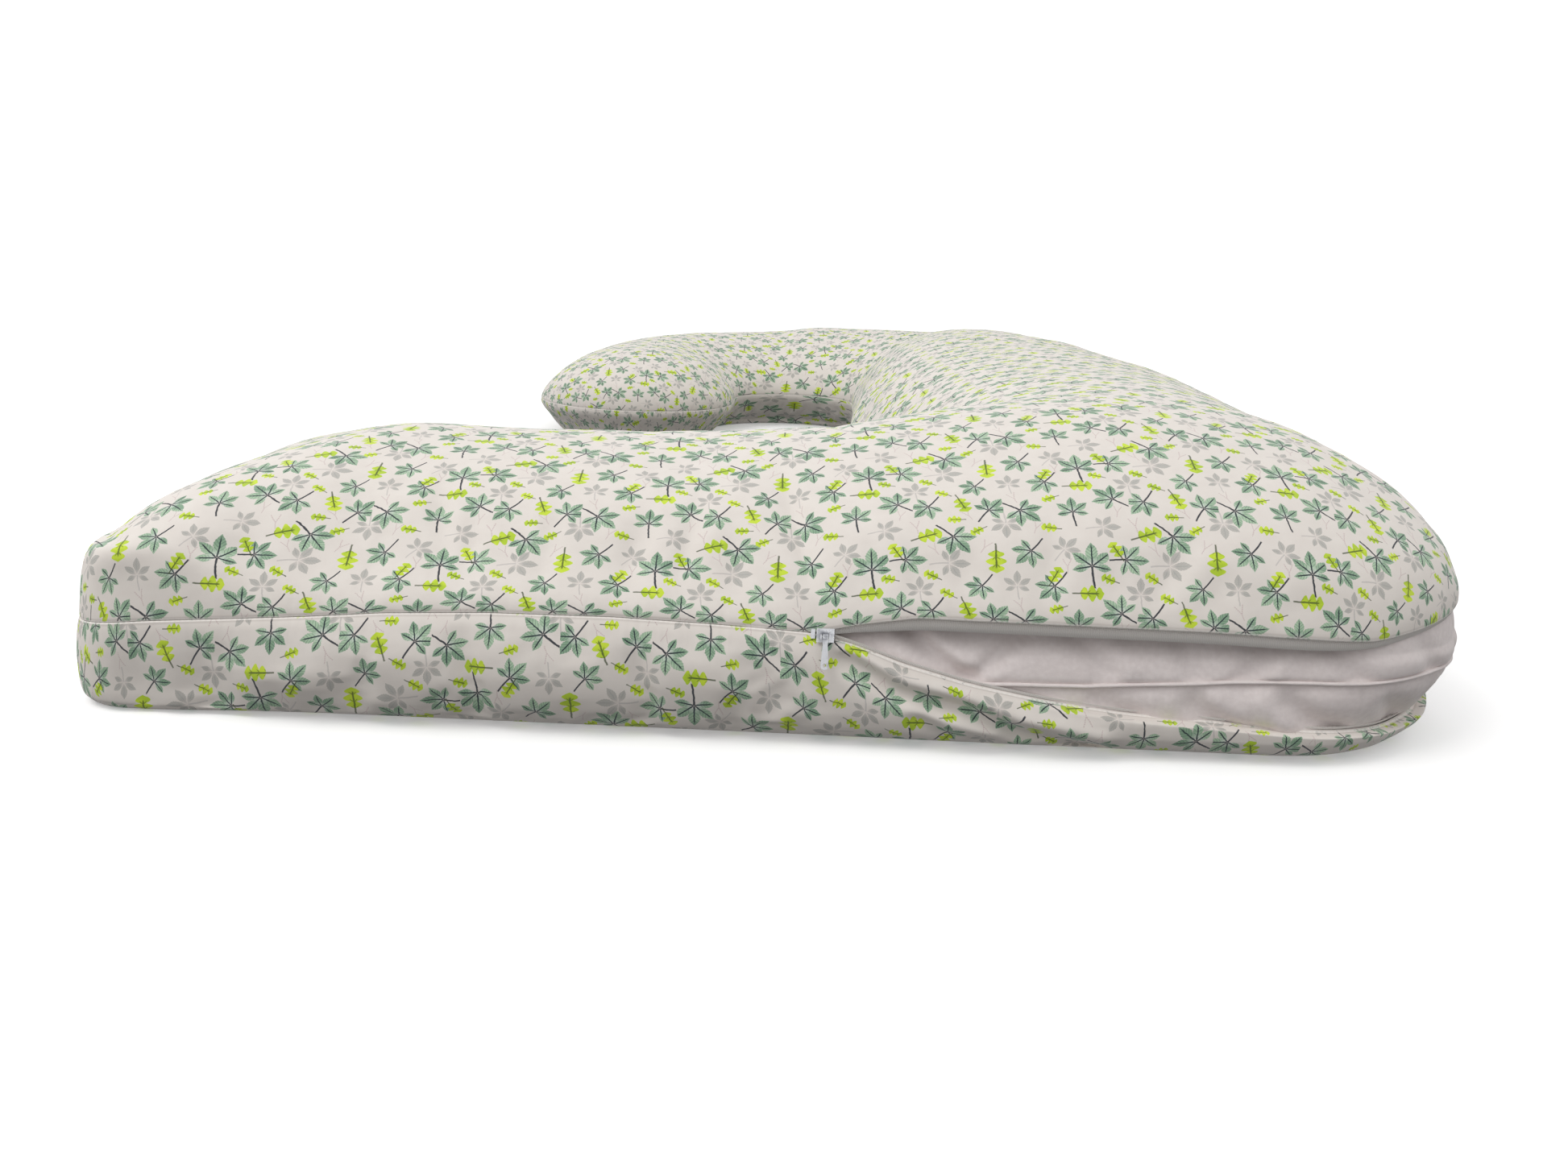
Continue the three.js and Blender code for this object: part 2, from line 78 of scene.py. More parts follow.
CREST_ARM = 125.0
CREST_SPINE = 159.0
CREST_HOOK = 126.0
CREST_TIP = 110.0
SEAM_Z = 59.0
HOOK_SEAM_DROP = 13.0
HOOK_TUCK = 32.0
END_SEAM_X = [-392, -352, -272, -230, -176, -112, -60, -15]
END_SEAM_DROP = [14, 10, 4, 0, -2.7, -3.4, -2, 0]
END_STEP = 0.36
CORNER_TUCK = 32.0
CASE_SEAM_Z = 36.5
DOME_FRONT = 1.65
DOME_SPINE = 2.05
DOME_END = 1.5

ZIP_START_X = -12.0
ZIP_END_Y = -560.0

# Place in millimetres, turns in degrees, focal length in pixels of a picture PICTURE_WIDTH wide
CAMERA = {"place": (-28.0, -1384.4, 246.5), "down": 14.78, "roll": 2.62, "yaw": 0.17, "focal": 1593.0}
PICTURE_WIDTH, SENSOR_WIDTH = 1946, 36.0


def mix(a, b, k):
    return a + (b - a) * k


def smooth(x):
    k = np.clip(x, 0.0, 1.0)
    return k * k * (3 - 2 * k)


# ---------------------------------------------------------------- the seam loop
def arc(cx, cy, radius, start, end, count):
    angles = np.radians(np.linspace(start, end, count + 1))
    return np.column_stack([cx + radius * np.cos(angles), cy + radius * np.sin(angles)])


def line(a, b, count):
    return np.linspace(a, b, count + 1)


def distances(points):
    """How far along a line of points each one is."""
    return np.concatenate([[0], np.cumsum(np.linalg.norm(np.diff(points, axis=0), axis=1))])


def resample(points, count):
    run = distances(points)
    want = np.linspace(0, run[-1], count + 1)
    return np.column_stack([np.interp(want, run, points[:, axis]) for axis in (0, 1)])


def spine_outer_x(y):
    along = (y - FRONT - OUTER_CORNER) / (HOOK_Y - FRONT - OUTER_CORNER)
    return CORNER_X + SPINE_BOW * np.sin(math.pi * np.clip(along, 0, 1)) ** 2


def spine_inner_x(y):
    return mix(SPINE_INNER, HOOK_INNER, smooth((y + 100) / (HOOK_Y + 100)))


def stations():
    """Pairs of points on the outer and inner seam lines, from the square end to the hook's tip."""
    arm_end_x = 46.0
    arm_outer = line((LEFT + END_FAN, FRONT), (arm_end_x, FRONT), 64)
    inner_corner_x = SPINE_INNER - INNER_CORNER
    arm_inner = line((LEFT + END_FAN, ARM_INNER), (inner_corner_x - 14, ARM_INNER), 64)
    spine_start = ARM_INNER + INNER_CORNER + 20
    spine_ys = np.linspace(FRONT + OUTER_CORNER, spine_start, 12)
    corner_outer = resample(np.vstack([
        line((arm_end_x, FRONT), (CORNER_X - OUTER_CORNER, FRONT), 12),
        arc(CORNER_X - OUTER_CORNER, FRONT + OUTER_CORNER, OUTER_CORNER, -90, 0, 30),
        np.column_stack([spine_outer_x(spine_ys), spine_ys]),
    ]), 116)
    corner_inner = resample(np.vstack([
        line((inner_corner_x - 14, ARM_INNER), (inner_corner_x, ARM_INNER), 4),
        arc(inner_corner_x, ARM_INNER + INNER_CORNER, INNER_CORNER, -90, 0, 30),
        line((SPINE_INNER, ARM_INNER + INNER_CORNER), (SPINE_INNER, spine_start), 4),
    ]), 116)
    ys = np.linspace(spine_start, HOOK_Y, 66)[:-1]
    spine_outer = np.column_stack([spine_outer_x(ys), ys])
    spine_inner = np.column_stack([spine_inner_x(ys), ys])
    hook_outer = arc(HOOK_X, HOOK_Y, HOOK_RADIUS, 0, 180, 96)
    hook_outer[:, 0] += TIP_NARROWER * smooth(np.linspace(0, 1, 97))
    hook_inner = arc(HOOK_X, HOOK_Y, HOOK_GAP, 0, 180, 96)
    tip_outer = line(hook_outer[-1], hook_outer[-1] - (0, TIP_STRAIGHT), 6)
    tip_inner = line(hook_inner[-1], hook_inner[-1] - (0, TIP_STRAIGHT), 6)
    outer = [arm_outer[:-1], corner_outer[:-1], spine_outer, hook_outer[:-1], tip_outer]
    inner = [arm_inner[:-1], corner_inner[:-1], spine_inner, hook_inner[:-1], tip_inner]
    return np.vstack(outer), np.vstack(inner)


def relax(points, rounds):
    """Smooths a line of points, keeping its ends."""
    points = points.copy()
    for _ in range(rounds):
        points[1:-1] = 0.5 * points[1:-1] + 0.25 * (points[:-2] + points[2:])
    return points


class Loop:
    """The closed seam line, anticlockwise, with each point's outward normal and spine point."""

    def __init__(self):
        outer, inner = stations()
        outer, inner = relax(outer, 6), relax(inner, 6)
        count = len(outer)
        last = count - 1
        tip_x = (outer[-1][0] + inner[-1][0]) / 2
        radius = (inner[-1][0] - outer[-1][0]) / 2
        cap = arc(tip_x, outer[-1][1], radius, 180, 360, 40)[1:-1]
        middle = (FRONT + ARM_INNER) / 2
        half = LIMB / 2
        end = resample(np.vstack([
            line((LEFT + END_FAN, middle + half), (LEFT + END_CORNER, middle + half), 4),
            arc(LEFT + END_CORNER, middle + half - END_CORNER, END_CORNER, 90, 180, 8),
            arc(LEFT + END_CORNER, middle - half + END_CORNER, END_CORNER, 180, 270, 8),
            line((LEFT + END_CORNER, middle - half), (LEFT + END_FAN, middle - half), 4),
        ]), 60)[1:-1]
        self.at = np.vstack([outer, cap, inner[::-1], end])
        self.spine_index = np.concatenate([
            np.arange(count), np.full(len(cap), last), np.arange(last, -1, -1), np.zeros(len(end), int),
        ])
        self.count = len(self.at)
        self.outer = np.arange(self.count) < count
        step = np.roll(self.at, -1, 0) - np.roll(self.at, 1, 0)
        normal = np.column_stack([step[:, 1], -step[:, 0]])
        self.normal = normal / np.linalg.norm(normal, axis=1)[:, None]
        self.spine = (outer + inner) / 2
        self.crest = self.crests()
        back = mix(DOME_FRONT, DOME_SPINE, smooth((self.at[:, 1] - FRONT - 20) / 160))
        self.dome = mix(DOME_END, back, smooth((self.at[:, 0] - LEFT) / END_FAN))
        self.run = distances(self.at)
        x, y = self.at.T
        self.zip = self.outer & (x >= ZIP_START_X) & (y <= ZIP_END_Y)
        first = np.flatnonzero(self.zip)[0]
        self.along = self.run - self.run[first]
        self.zip_run = np.where(self.zip, self.along, -1.0)
        self.zip_length = self.zip_run.max()
        self.left = smooth((LEFT + END_FAN - x) / 110) * (y < 0)
        self.hook = smooth((y - 10) / 170) * smooth((400 - x) / 330)
        front = np.interp(x, END_SEAM_X, END_SEAM_DROP)
        drop = np.where(y < -600, front, np.maximum(front, 0) * (y < 0))
        self.seam = SEAM_Z - drop - HOOK_SEAM_DROP * self.hook
        self.bulge = 1 - 0.75 * np.maximum(self.left, self.hook)
        late = smooth((self.along - 240) / 90) * smooth((self.zip_length + 60 - self.along) / 80)
        self.corner = late * self.outer
        self.lip_tuck = np.interp(self.along, [300, 350, 430], [0.45, 0.6, 1.05])
        self.open = self.zip * smooth(self.along / 50) * smooth((self.zip_length - self.along) / 50)
        self.foot = self.spine[self.spine_index]
        rib = self.at - self.foot
        self.reach = np.linalg.norm(rib, axis=1)
        self.rib = rib / self.reach[:, None]

    def crests(self):
        x, y = self.spine.T
        to_spine = smooth((x + 130) / 340)
        up_spine = smooth((y - 100) / (BACK - 150))
        body = mix(mix(CREST_ARM, CREST_SPINE, to_spine), CREST_HOOK, up_spine)
        from_tip = (len(x) - 1 - np.arange(len(x))) / 90
        crest = np.where((y > 0) & (x < HOOK_X), mix(CREST_TIP, CREST_HOOK, smooth(from_tip)), body)
        return relax(crest, 12)


loop = Loop()

# ---------------------------------------------------------------- cross-sections
# The side wall below the seam: how far it stands out at each height
WALL = [
    (0, 59), (3.6, 54), (6.6, 47), (9.2, 38), (10, 29),
    (9.2, 20), (6.6, 12), (2, 5.6), (-4, 2), (-12, 0.4), (-22, 0),
]
WALL_OUT, WALL_Z = np.array(WALL, float).T


def wall_out(z):
    return np.interp(z, WALL_Z[::-1], WALL_OUT[::-1])


def wall_place(out, z, share=1.0):
    """How far a wall stands out at each loop point: less at the ends, tucked under at the corner and hook."""
    z = np.asarray(z, float)
    tuck = CORNER_TUCK * share * loop.corner * smooth((63 - z) / 60)
    return out * loop.bulge - (tuck + HOOK_TUCK * loop.hook * smooth((46 - z) / 46))


def dense_wall(step):
    """The wall's profile at nearly even distances down the cloth."""
    run = distances(WALL)
    want = np.linspace(0, run[-1], int(run[-1] / step) + 1)
    return np.column_stack([np.interp(want, run, WALL_OUT), np.interp(want, run, WALL_Z)])


# The unzipped lower lip: its rim's height and lean at distances along the zip
LIP_PLACES = [0, 18, 44, 80, 117, 160, 204, 256, 320, 380, 440, 500, 560]
LIP_HEIGHTS = [58, 54, 45, 36, 29, 23, 20.5, 17, 15, 17, 24, 38, 56]
LIP_LEANS = [0, 1, 3, 5, 4, 1, 0, 0, 2, 3, 3, 3, 1]
UPPER_LIFT = [0, 6, 10.5, 10, 7.5, 15, 21, 17, 0]


def along_lip(values):
    """Values at the lip's places, with the last places moved to suit the zip's real length."""
    places = np.array(LIP_PLACES, float)
    late = places > 320
    places[late] = places[late] * loop.zip_length / places[-1]
    return np.interp(loop.zip_run, places, values)


# Folds as lines of (distance along the zip, height): depth is inward, width is across the fold
LIP_FOLDS = [
    ([(16, 47), (44, 31), (80, 24), (101, 14), (150, 2)], 5.5, 4.5),
    ([(14, 54), (44, 39), (80, 31), (101, 23), (150, 12)], -3.0, 5.0),
    ([(55, 18), (68, 9), (91, 6)], 3.0, 4.0),
    ([(50, 25), (70, 16), (95, 11)], -2.0, 4.0),
    ([(-40, 22), (-37, 2)], 2.5, 4.5),
    ([(-22, 50), (-6, 38), (4, 22)], 1.2, 4.0),
    ([(-90, 40), (-84, 18)], 1.2, 7.0),
    ([(-180, 46), (-172, 20)], 1.0, 8.0),
    ([(-290, 44), (-300, 18)], 1.3, 9.0),
]
CASE_FOLDS = [
    ([(44, 64), (60, 50), (78, 38)], 5.6, 3.2),
    ([(56, 64), (72, 50), (88, 42)], -2.4, 4.0),
    ([(104, 60), (92, 48), (80, 38)], 5.0, 3.2),
    ([(34, 60), (46, 50)], -1.2, 5.0),
    ([(132, 64), (150, 45)], 2.6, 5.0),
    ([(142, 64), (162, 47)], -1.4, 6.0),
    ([(186, 62), (198, 40)], 2.2, 5.0),
    ([(232, 64), (220, 42)], 3.0, 5.0),
    ([(244, 62), (234, 44)], -1.4, 5.0),
    ([(268, 62), (284, 42)], 3.0, 6.0),
    ([(322, 64), (336, 43)], 2.6, 6.0),
    ([(376, 64), (370, 42)], 2.6, 6.0),
    ([(430, 64), (442, 42)], 2.6, 6.0),
    ([(196, 31), (212, 19), (234, 15)], 5.0, 4.5),
    ([(204, 33), (222, 22), (244, 18)], -2.2, 4.5),
    ([(244, 34), (256, 24), (276, 17)], 5.0, 4.5),
    ([(228, 33), (244, 22)], -2.6, 4.5),
    ([(146, 32), (168, 20)], 3.2, 5.0),
    ([(102, 33), (118, 26)], 2.0, 5.0),
    ([(304, 32), (326, 20)], 4.0, 5.0),
    ([(356, 31), (382, 22)], 4.0, 5.0),
    ([(420, 32), (440, 20)], 4.0, 5.0),
]
TOP_FOLDS = [
    ([(2, 60), (-2, 72)], 1.6, 2.6),
    ([(-30, 62), (-44, 84)], 1.0, 5.0),
    ([(66, 68), (58, 84)], 1.0, 5.0),
]


def fold_depth(folds, along, height):
    """How far the folds move points in, at distances along the zip and heights."""
    total = np.zeros_like(along)
    point = np.stack([along, height], -1)
    for line_points, depth, width in folds:
        ends = np.array(line_points, float)
        nearest = np.full(along.shape, 1e9)
        for a, b in zip(ends[:-1], ends[1:]):
            span = b - a
            share = np.clip(((point - a) @ span) / (span @ span), 0, 1)
            nearest = np.minimum(nearest, np.linalg.norm(point - (a + share[..., None] * span), axis=-1))
        total += depth * np.exp(-((nearest / width) ** 2))
    return total


def fold(rows, folds, strength=1.0):
    """Moves rows of points in along the loop's normals where the folds run."""
    for row in rows:
        depth = strength * fold_depth(folds, loop.along, row[:, 2])
        depth = np.where(loop.outer, depth, 0)
        row[:, :2] -= loop.normal * depth[:, None]


def swell(place, size, amount, seed):
    """Gentle lumps of stuffing: a smooth number from about -amount to amount."""
    return amount * noise.noise(Vector((place[0] / size + seed, place[1] / size, place[2] / size)))


# ---------------------------------------------------------------- meshes
def make_object(name, vertices, faces, **maps):
    """A smooth mesh from millimetre points; each map is a UV layer given per point."""
    mesh = bpy.data.meshes.new(name)
    faces = [tuple(int(i) for i in face) for face in faces]
    mesh.from_pydata((np.asarray(vertices, float) * MM).tolist(), [], faces)
    mesh.update()
    index = np.empty(len(mesh.loops), int)
    mesh.loops.foreach_get("vertex_index", index)
    for layer, values in maps.items():
        mesh.uv_layers.new(name=layer).data.foreach_set("uv", (np.asarray(values)[index] * MM).ravel())
    mesh.polygons.foreach_set("use_smooth", np.ones(len(mesh.polygons), bool))
    piece = bpy.data.objects.new(name, mesh)
    bpy.context.collection.objects.link(piece)
    return piece


def grid_faces(rows, columns, rows_meet=False, columns_meet=True):
    """Quads between neighbouring rows of points; the last row or column may meet the first."""
    faces = []
    last = columns if columns_meet else columns - 1
    for r in range(rows if rows_meet else rows - 1):
        a, b = r * columns, (r + 1) % rows * columns
        faces += [(a + k, a + (k + 1) % columns, b + (k + 1) % columns, b + k) for k in range(last)]
    return faces


# How far each point of a skin is from its seam, in millimetres, kept for the cloth simulation
AWAY = {}
MIDDLE_AWAY = 170.0


def row_steps(rows):
    """The distances between neighbouring rows, point by point."""
    return [np.linalg.norm(b - a, axis=1) for a, b in zip(rows[:-1], rows[1:])]


def spine_at(z):
    """The points where a skin closes, at one height."""
    return np.column_stack([loop.spine, np.full(len(loop.spine), z)])


def skin(name, rows, closing, cloth_rows, cloth_closing, seam_row, upward):
    """A panel from its rim ring to the spine line. Its UVs are the flat cloth and the way from the seam."""
    count = loop.count
    faces = grid_faces(len(rows), count)
    edge = (len(rows) - 1) * count
    middle = len(rows) * count
    for k in range(count):
        n = (k + 1) % count
        here, there = middle + loop.spine_index[k], middle + loop.spine_index[n]
        faces.append((edge + k, edge + n, there, here) if here != there else (edge + k, edge + n, there))
    if not upward:
        faces = [face[::-1] for face in faces]
    down = np.vstack([np.zeros(count), np.cumsum(row_steps(rows), axis=0)])
    down = down - down[seam_row]
    seam = [np.column_stack([loop.run, d]) for d in down]
    seam.append(np.column_stack([np.zeros(len(closing)), np.full(len(closing), MIDDLE_AWAY)]))
    flat = np.vstack(cloth_rows + [cloth_closing])
    piece = make_object(name, np.vstack(rows + [closing]), faces, cloth=flat, seam=np.vstack(seam))
    AWAY[name] = np.concatenate([down.ravel(), np.full(len(closing), MIDDLE_AWAY)])
    whole = (loop.run[-1] + np.linalg.norm(loop.at[0] - loop.at[-1])) * MM
    layer = piece.data.uv_layers["seam"].data
    for face in list(range(count - 1, len(faces) - count, count)) + [len(faces) - 1]:
        for corner in piece.data.polygons[face].loop_indices:
            if layer[corner].uv.x < whole / 2:
                layer[corner].uv.x += whole
    return piece


def ring(out, z):
    """Points of the loop moved out and set at a height; both may be numbers or one value per point."""
    place = loop.at + loop.normal * np.broadcast_to(out, loop.count)[:, None]
    return np.column_stack([place, np.broadcast_to(z, loop.count)])


def dome_rows(side, up, rim_z, rim_out, steps):
    """Rows of a domed upper skin, evenly spaced up the cloth; the rim's own shape fades into it."""
    crest = loop.crest[loop.spine_index] - up
    rows = []
    for turn in np.linspace(0, math.pi / 2, steps + 1)[:-1]:
        share = 1 - math.cos(turn) ** (2 / loop.dome)
        rise = math.sin(turn) ** (2 / loop.dome)
        step = END_STEP * loop.left
        rise = step * smooth(turn / 0.3) + (1 - step) * rise
        fade = 1 - smooth(turn / 0.6)
        edge = loop.at + loop.normal * (rim_out * fade - side)[:, None]
        flat = edge + (loop.foot - edge) * share[:, None]
        rows.append(np.column_stack([flat, mix(rim_z, crest, rise)]))
    return rows, np.column_stack([loop.spine, loop.crest - up])


def tight(rim, after, distance=0.8):
    """A row just past the rim, so the smoothed edge keeps a small radius."""
    way = after - rim
    return rim + way * (distance / np.linalg.norm(way, axis=1))[:, None]


def lump(rows, closing, size, amount, seed):
    """Raises and sinks a dome a little, fading out towards its first rows."""
    for r, row in enumerate(rows + [closing]):
        share = smooth(r / 5) if r < len(rows) else 1.0
        if share > 0:
            both = [swell(p, size, amount, seed) + swell(p, size / 2.6, amount / 3, seed) for p in row]
            row[:, 2] += share * np.array(both)


HEM = 3


def upper_lip():
    """Height and lean of the top panel's rim: it lifts along the open zip, most at the corner."""
    lift = np.interp(loop.zip_run, [0, 25, 50, 200, 285, 350, 410, 470, loop.zip_length], UPPER_LIFT)
    return loop.seam + 0.06 + lift * loop.zip, loop.open * (2.0 - 5.0 * loop.corner)


def cover_top():
    rim_z, rim_out = upper_lip()
    rows, closing = dome_rows(0.0, 0.0, rim_z, rim_out, 26)
    rows[0] = ring(rim_out - mix(0.25, 0.0, loop.open), rim_z)
    lump(rows, closing, 95.0, 2.4, 3.0)
    inside = [
        ring(rim_out - mix(7.0, 3.8, loop.open), rim_z + mix(0, 3.6, loop.open)),
        ring(rim_out - mix(4.5, 2.6, loop.open), rim_z + mix(0, 0.4, loop.open)),
        ring(rim_out - mix(1.1, 1.3, loop.open), rim_z + mix(0.02, -0.9, loop.open)),
    ]
    fold(rows[:8], TOP_FOLDS)
    rows = inside + [rows[0], tight(rows[0], rows[1])] + rows[1:]
    steps = row_steps(rows[HEM:])
    last = np.linalg.norm(rows[-1] - closing[loop.spine_index], axis=1)
    arcs = np.cumsum(np.array(steps + [last])[::-1], axis=0)[::-1]
    spare = arcs[0] - loop.reach
    cloth = []
    for row, arc_left in zip(rows[HEM:], arcs):
        plan_left = np.linalg.norm(row[:, :2] - loop.foot, axis=1)
        push = np.mean(spare) * np.clip((arc_left - plan_left) / spare, 0, 1)
        cloth.append(row[:, :2] + loop.normal * push[:, None])
    cloth = [cloth[0] + loop.normal * extra for extra in (9.0, 4.0, 1.5)] + cloth
    front = FRONT - np.mean(spare)
    return skin("cover_top", rows, closing, cloth, loop.spine, HEM, True), front


def cover_bottom():
    """The lower panel: hem, side wall with the hanging lip, and flat base."""
    rim_z = np.where(loop.zip, along_lip(LIP_HEIGHTS), loop.seam - 0.06)
    rim_out = np.where(loop.zip, along_lip(LIP_LEANS), 0.0)
    fall = np.clip((SEAM_Z - 2 - rim_z) / (SEAM_Z - 14), 0, 1) * loop.zip
    hang = smooth(fall * 4)
    low = 2.0
    rows = []
    profile = dense_wall(2.7)
    for out, z in profile:
        height = np.where(z > low, low + (rim_z - low) * (z - low) / (SEAM_Z - low), z)
        lean = mix(out, wall_out(height) + rim_out * np.clip(height / rim_z, 0, 1) ** 0.7, fall)
        lean = np.where(z >= SEAM_Z - 1, mix(-0.25, rim_out, hang), lean)
        rows.append(ring(wall_place(lean, height, loop.lip_tuck), height))
    fold(rows[1:-8], LIP_FOLDS, 1.25)
    rim = rows[0].copy()
    inside = []
    for closed_in, open_in, drop in ((6.0, 2.8, -6.0), (3.5, 2.4, 0.2), (1.1, 1.3, 1.2)):
        row = rim.copy()
        row[:, :2] -= loop.normal * mix(closed_in, open_in, hang)[:, None]
        row[:, 2] += hang * drop
        inside.append(row)
    rows = inside + [rows[0], tight(rows[0], rows[1])] + rows[1:]
    down = np.vstack([np.zeros(loop.count), np.cumsum(row_steps(rows[HEM:]), axis=0)])
    whole = np.hypot(np.diff(WALL_OUT), np.diff(WALL_Z)).sum()
    slack = 10.0 * smooth((loop.along + 60) / 80) * smooth((260 - loop.along) / 120) * loop.outer
    reach = whole + WALL_OUT[-1] + slack
    outline = loop.at + loop.normal * reach[:, None]
    cloth = [outline + loop.normal * extra for extra in (8.0, 4.0, 1.5)]
    cloth += [outline - loop.normal * d[:, None] for d in down]
    inner = rows[-1].copy()
    start = cloth[-1]
    for share in (0.2, 0.45, 0.72):
        rows.append(np.column_stack([mix(inner[:, :2], loop.foot, share), np.zeros(loop.count)]))
        cloth.append(mix(start, loop.foot, share))
    closing = spine_at(0.0)
    front = FRONT - whole - WALL_OUT[-1]
    return skin("cover_bottom", rows, closing, cloth, loop.spine, HEM, False), front


CASE_SIDE, CASE_FLOOR = 8.0, 1.4
STUFFING_SIDE, STUFFING_FLOOR, STUFFING_LOW = CASE_SIDE + 9.0, 4.0, 6.0


def ridge_wave():
    """The case's own seam wanders a little up and down along the wall."""
    wave = np.array([swell((a, 0, 0), 70.0, 1.6, 11.0) for a in loop.run])
    return wave + loop.outer * np.interp(loop.along, [140, 215, 270, 340, 430, 600], [0, 6, 7.5, 9, 7, 0])


def inner_case():
    seam_z = CASE_SEAM_Z + ridge_wave()
    side = CASE_SIDE * (1 - 0.8 * loop.corner)
    pinch = wall_place(wall_out(seam_z), seam_z) - side - 1.6
    shoulder = np.maximum(loop.seam, seam_z + 4)
    rows = [ring(pinch, seam_z + 0.4)]
    for share in np.linspace(0.12, 0.95, 8):
        z = mix(seam_z, shoulder, share)
        rows.append(ring(wall_place(wall_out(z), z) - side + 0.6 * math.sin(math.pi * share), z))
    dome, closing = dome_rows(side, 1.8, shoulder, np.zeros(loop.count), 20)
    lump(dome, closing, 95.0, 2.4, 3.0)
    rows += dome
    fold(rows[1:12], CASE_FOLDS, 1.3)
    cloth = [np.column_stack([loop.run, row[:, 2] * 1.2]) for row in rows]
    top = skin("inner_case_top", rows, closing, cloth, loop.spine, 0, True)
    rows = [ring(pinch, seam_z - 0.4)]
    for out, z in dense_wall(3.0):
        if z < CASE_SEAM_Z - 3.5:
            z = z * seam_z / CASE_SEAM_Z
            out = wall_place(np.where(z > 8, wall_out(z), out), z, 0.78) - side
            rows.append(ring(out, np.maximum(z, CASE_FLOOR)))
    fold(rows[1:-6], CASE_FOLDS, 1.2)
    cloth = [np.column_stack([loop.run, row[:, 2] * 1.2]) for row in rows]
    closing = spine_at(CASE_FLOOR)
    bottom = skin("inner_case_bottom", rows, closing, cloth, loop.spine, 0, False)
    return top, bottom, ring(pinch, seam_z)


def filling():
    """The stuffing: a closed lumpy body that fills the case."""
    rim_z = loop.seam - STUFFING_LOW
    dome, closing = dome_rows(STUFFING_SIDE, 9.0, rim_z, np.zeros(loop.count), 12)
    lump(dome, closing, 60.0, 3.0, 7.0)
    low = [
        ring(wall_place(out, z) - STUFFING_SIDE, max(z, STUFFING_FLOOR) * rim_z / SEAM_Z)
        for out, z in dense_wall(7.0)[::-1]
    ]
    base = spine_at(STUFFING_FLOOR)
    count = loop.count
    rows = low + dome[1:]
    faces = grid_faces(len(rows), count)
    top_edge, upper = (len(rows) - 1) * count, len(rows) * count
    lower = upper + len(closing)
    for k in range(count):
        n = (k + 1) % count
        here, there = loop.spine_index[k], loop.spine_index[n]
        turns = here != there
        faces.append([top_edge + k, top_edge + n, upper + there] + [upper + here] * turns)
        faces.append([lower + here] * turns + [lower + there, n, k])
    return make_object("stuffing", np.vstack(rows + [closing, base]), faces)


def tube(name, path, across, up, radii, sides, closed=False):
    """A round or oval tube along a path, with its two cross directions at each point."""
    path, across, up = (np.asarray(v, float) for v in (path, across, up))
    angles = np.linspace(0, 2 * math.pi, sides, endpoint=False)
    rings = [path + across * (radii[0] * math.cos(a)) + up * (radii[1] * math.sin(a)) for a in angles]
    vertices = np.stack(rings, 1).reshape(-1, 3)
    count = len(path)
    faces = grid_faces(count, sides, rows_meet=closed)
    if not closed:
        faces += [tuple(range(sides))[::-1], tuple(range((count - 1) * sides, count * sides))]
    flat = np.stack([np.repeat(distances(path), sides), np.tile(np.arange(sides) * radii[1], count)], 1)
    return make_object(name, vertices, faces, cloth=flat)


def finer(points, times):
    """More points between the given ones."""
    steps = np.arange(len(points))
    want = np.linspace(0, len(points) - 1, (len(points) - 1) * times + 1)
    return np.column_stack([np.interp(want, steps, points[:, axis]) for axis in range(points.shape[1])])


COIL_INSET, COIL_PITCH = 2.9, 1.5


def zip_side(name, rim_z, rim_out, upper):
    """One zip tape sewn inside a lip, its bare edge just past the lip, and the coil behind that edge."""
    kept = np.flatnonzero(loop.zip)
    shown = 2.4 + 3.8 * upper * loop.open * (1 - loop.corner)
    base = np.column_stack([loop.at, loop.normal, rim_z, rim_out, loop.along, shown])[kept]
    base = finer(relax(base, 4), 4)
    at, normal, z, out, shown = base[:, 0:2], base[:, 2:4], base[:, 4], base[:, 5], base[:, 7]
    way = -1.0 if upper else 1.0
    rows = []
    for inset, height in ((0.9, shown), (1.5, shown), (7.6, -4.0), (7.0, -4.0)):
        place = at + normal * (out - inset)[:, None]
        rows.append(np.column_stack([place, z + way * height]))
    count = len(at)
    vertices = np.vstack(rows)
    faces = grid_faces(4, count, rows_meet=True, columns_meet=False)
    faces += [(0, count, 2 * count, 3 * count), (count - 1, 4 * count - 1, 3 * count - 1, 2 * count - 1)]
    if not upper:
        faces = [face[::-1] for face in faces]
    flat = np.vstack([np.column_stack([base[:, 6], np.full(count, h)]) for h in (0, 0.6, 8, 8.6)])
    tape = make_object("zip_tape_" + name, vertices, faces, cloth=flat)
    fine = finer(np.column_stack([at, normal, z, out, base[:, 6], shown - 1.1]), 3)
    turns = 2 * math.pi * fine[:, 6] / COIL_PITCH
    behind = fine[:, 0:2] + fine[:, 2:4] * (fine[:, 5] - COIL_INSET)[:, None]
    middle = np.column_stack([behind, fine[:, 4] + way * fine[:, 7]])
    outward = np.column_stack([fine[:, 2:4], np.zeros(len(fine))])
    above = np.tile([0.0, 0.0, 1.0], (len(fine), 1))
    path = middle + outward * (0.55 * np.cos(turns))[:, None] + above * (0.85 * np.sin(turns))[:, None]
    coil = tube("zip_coil_" + name, path, outward, above, (0.3, 0.3), 5)
    return tape, coil


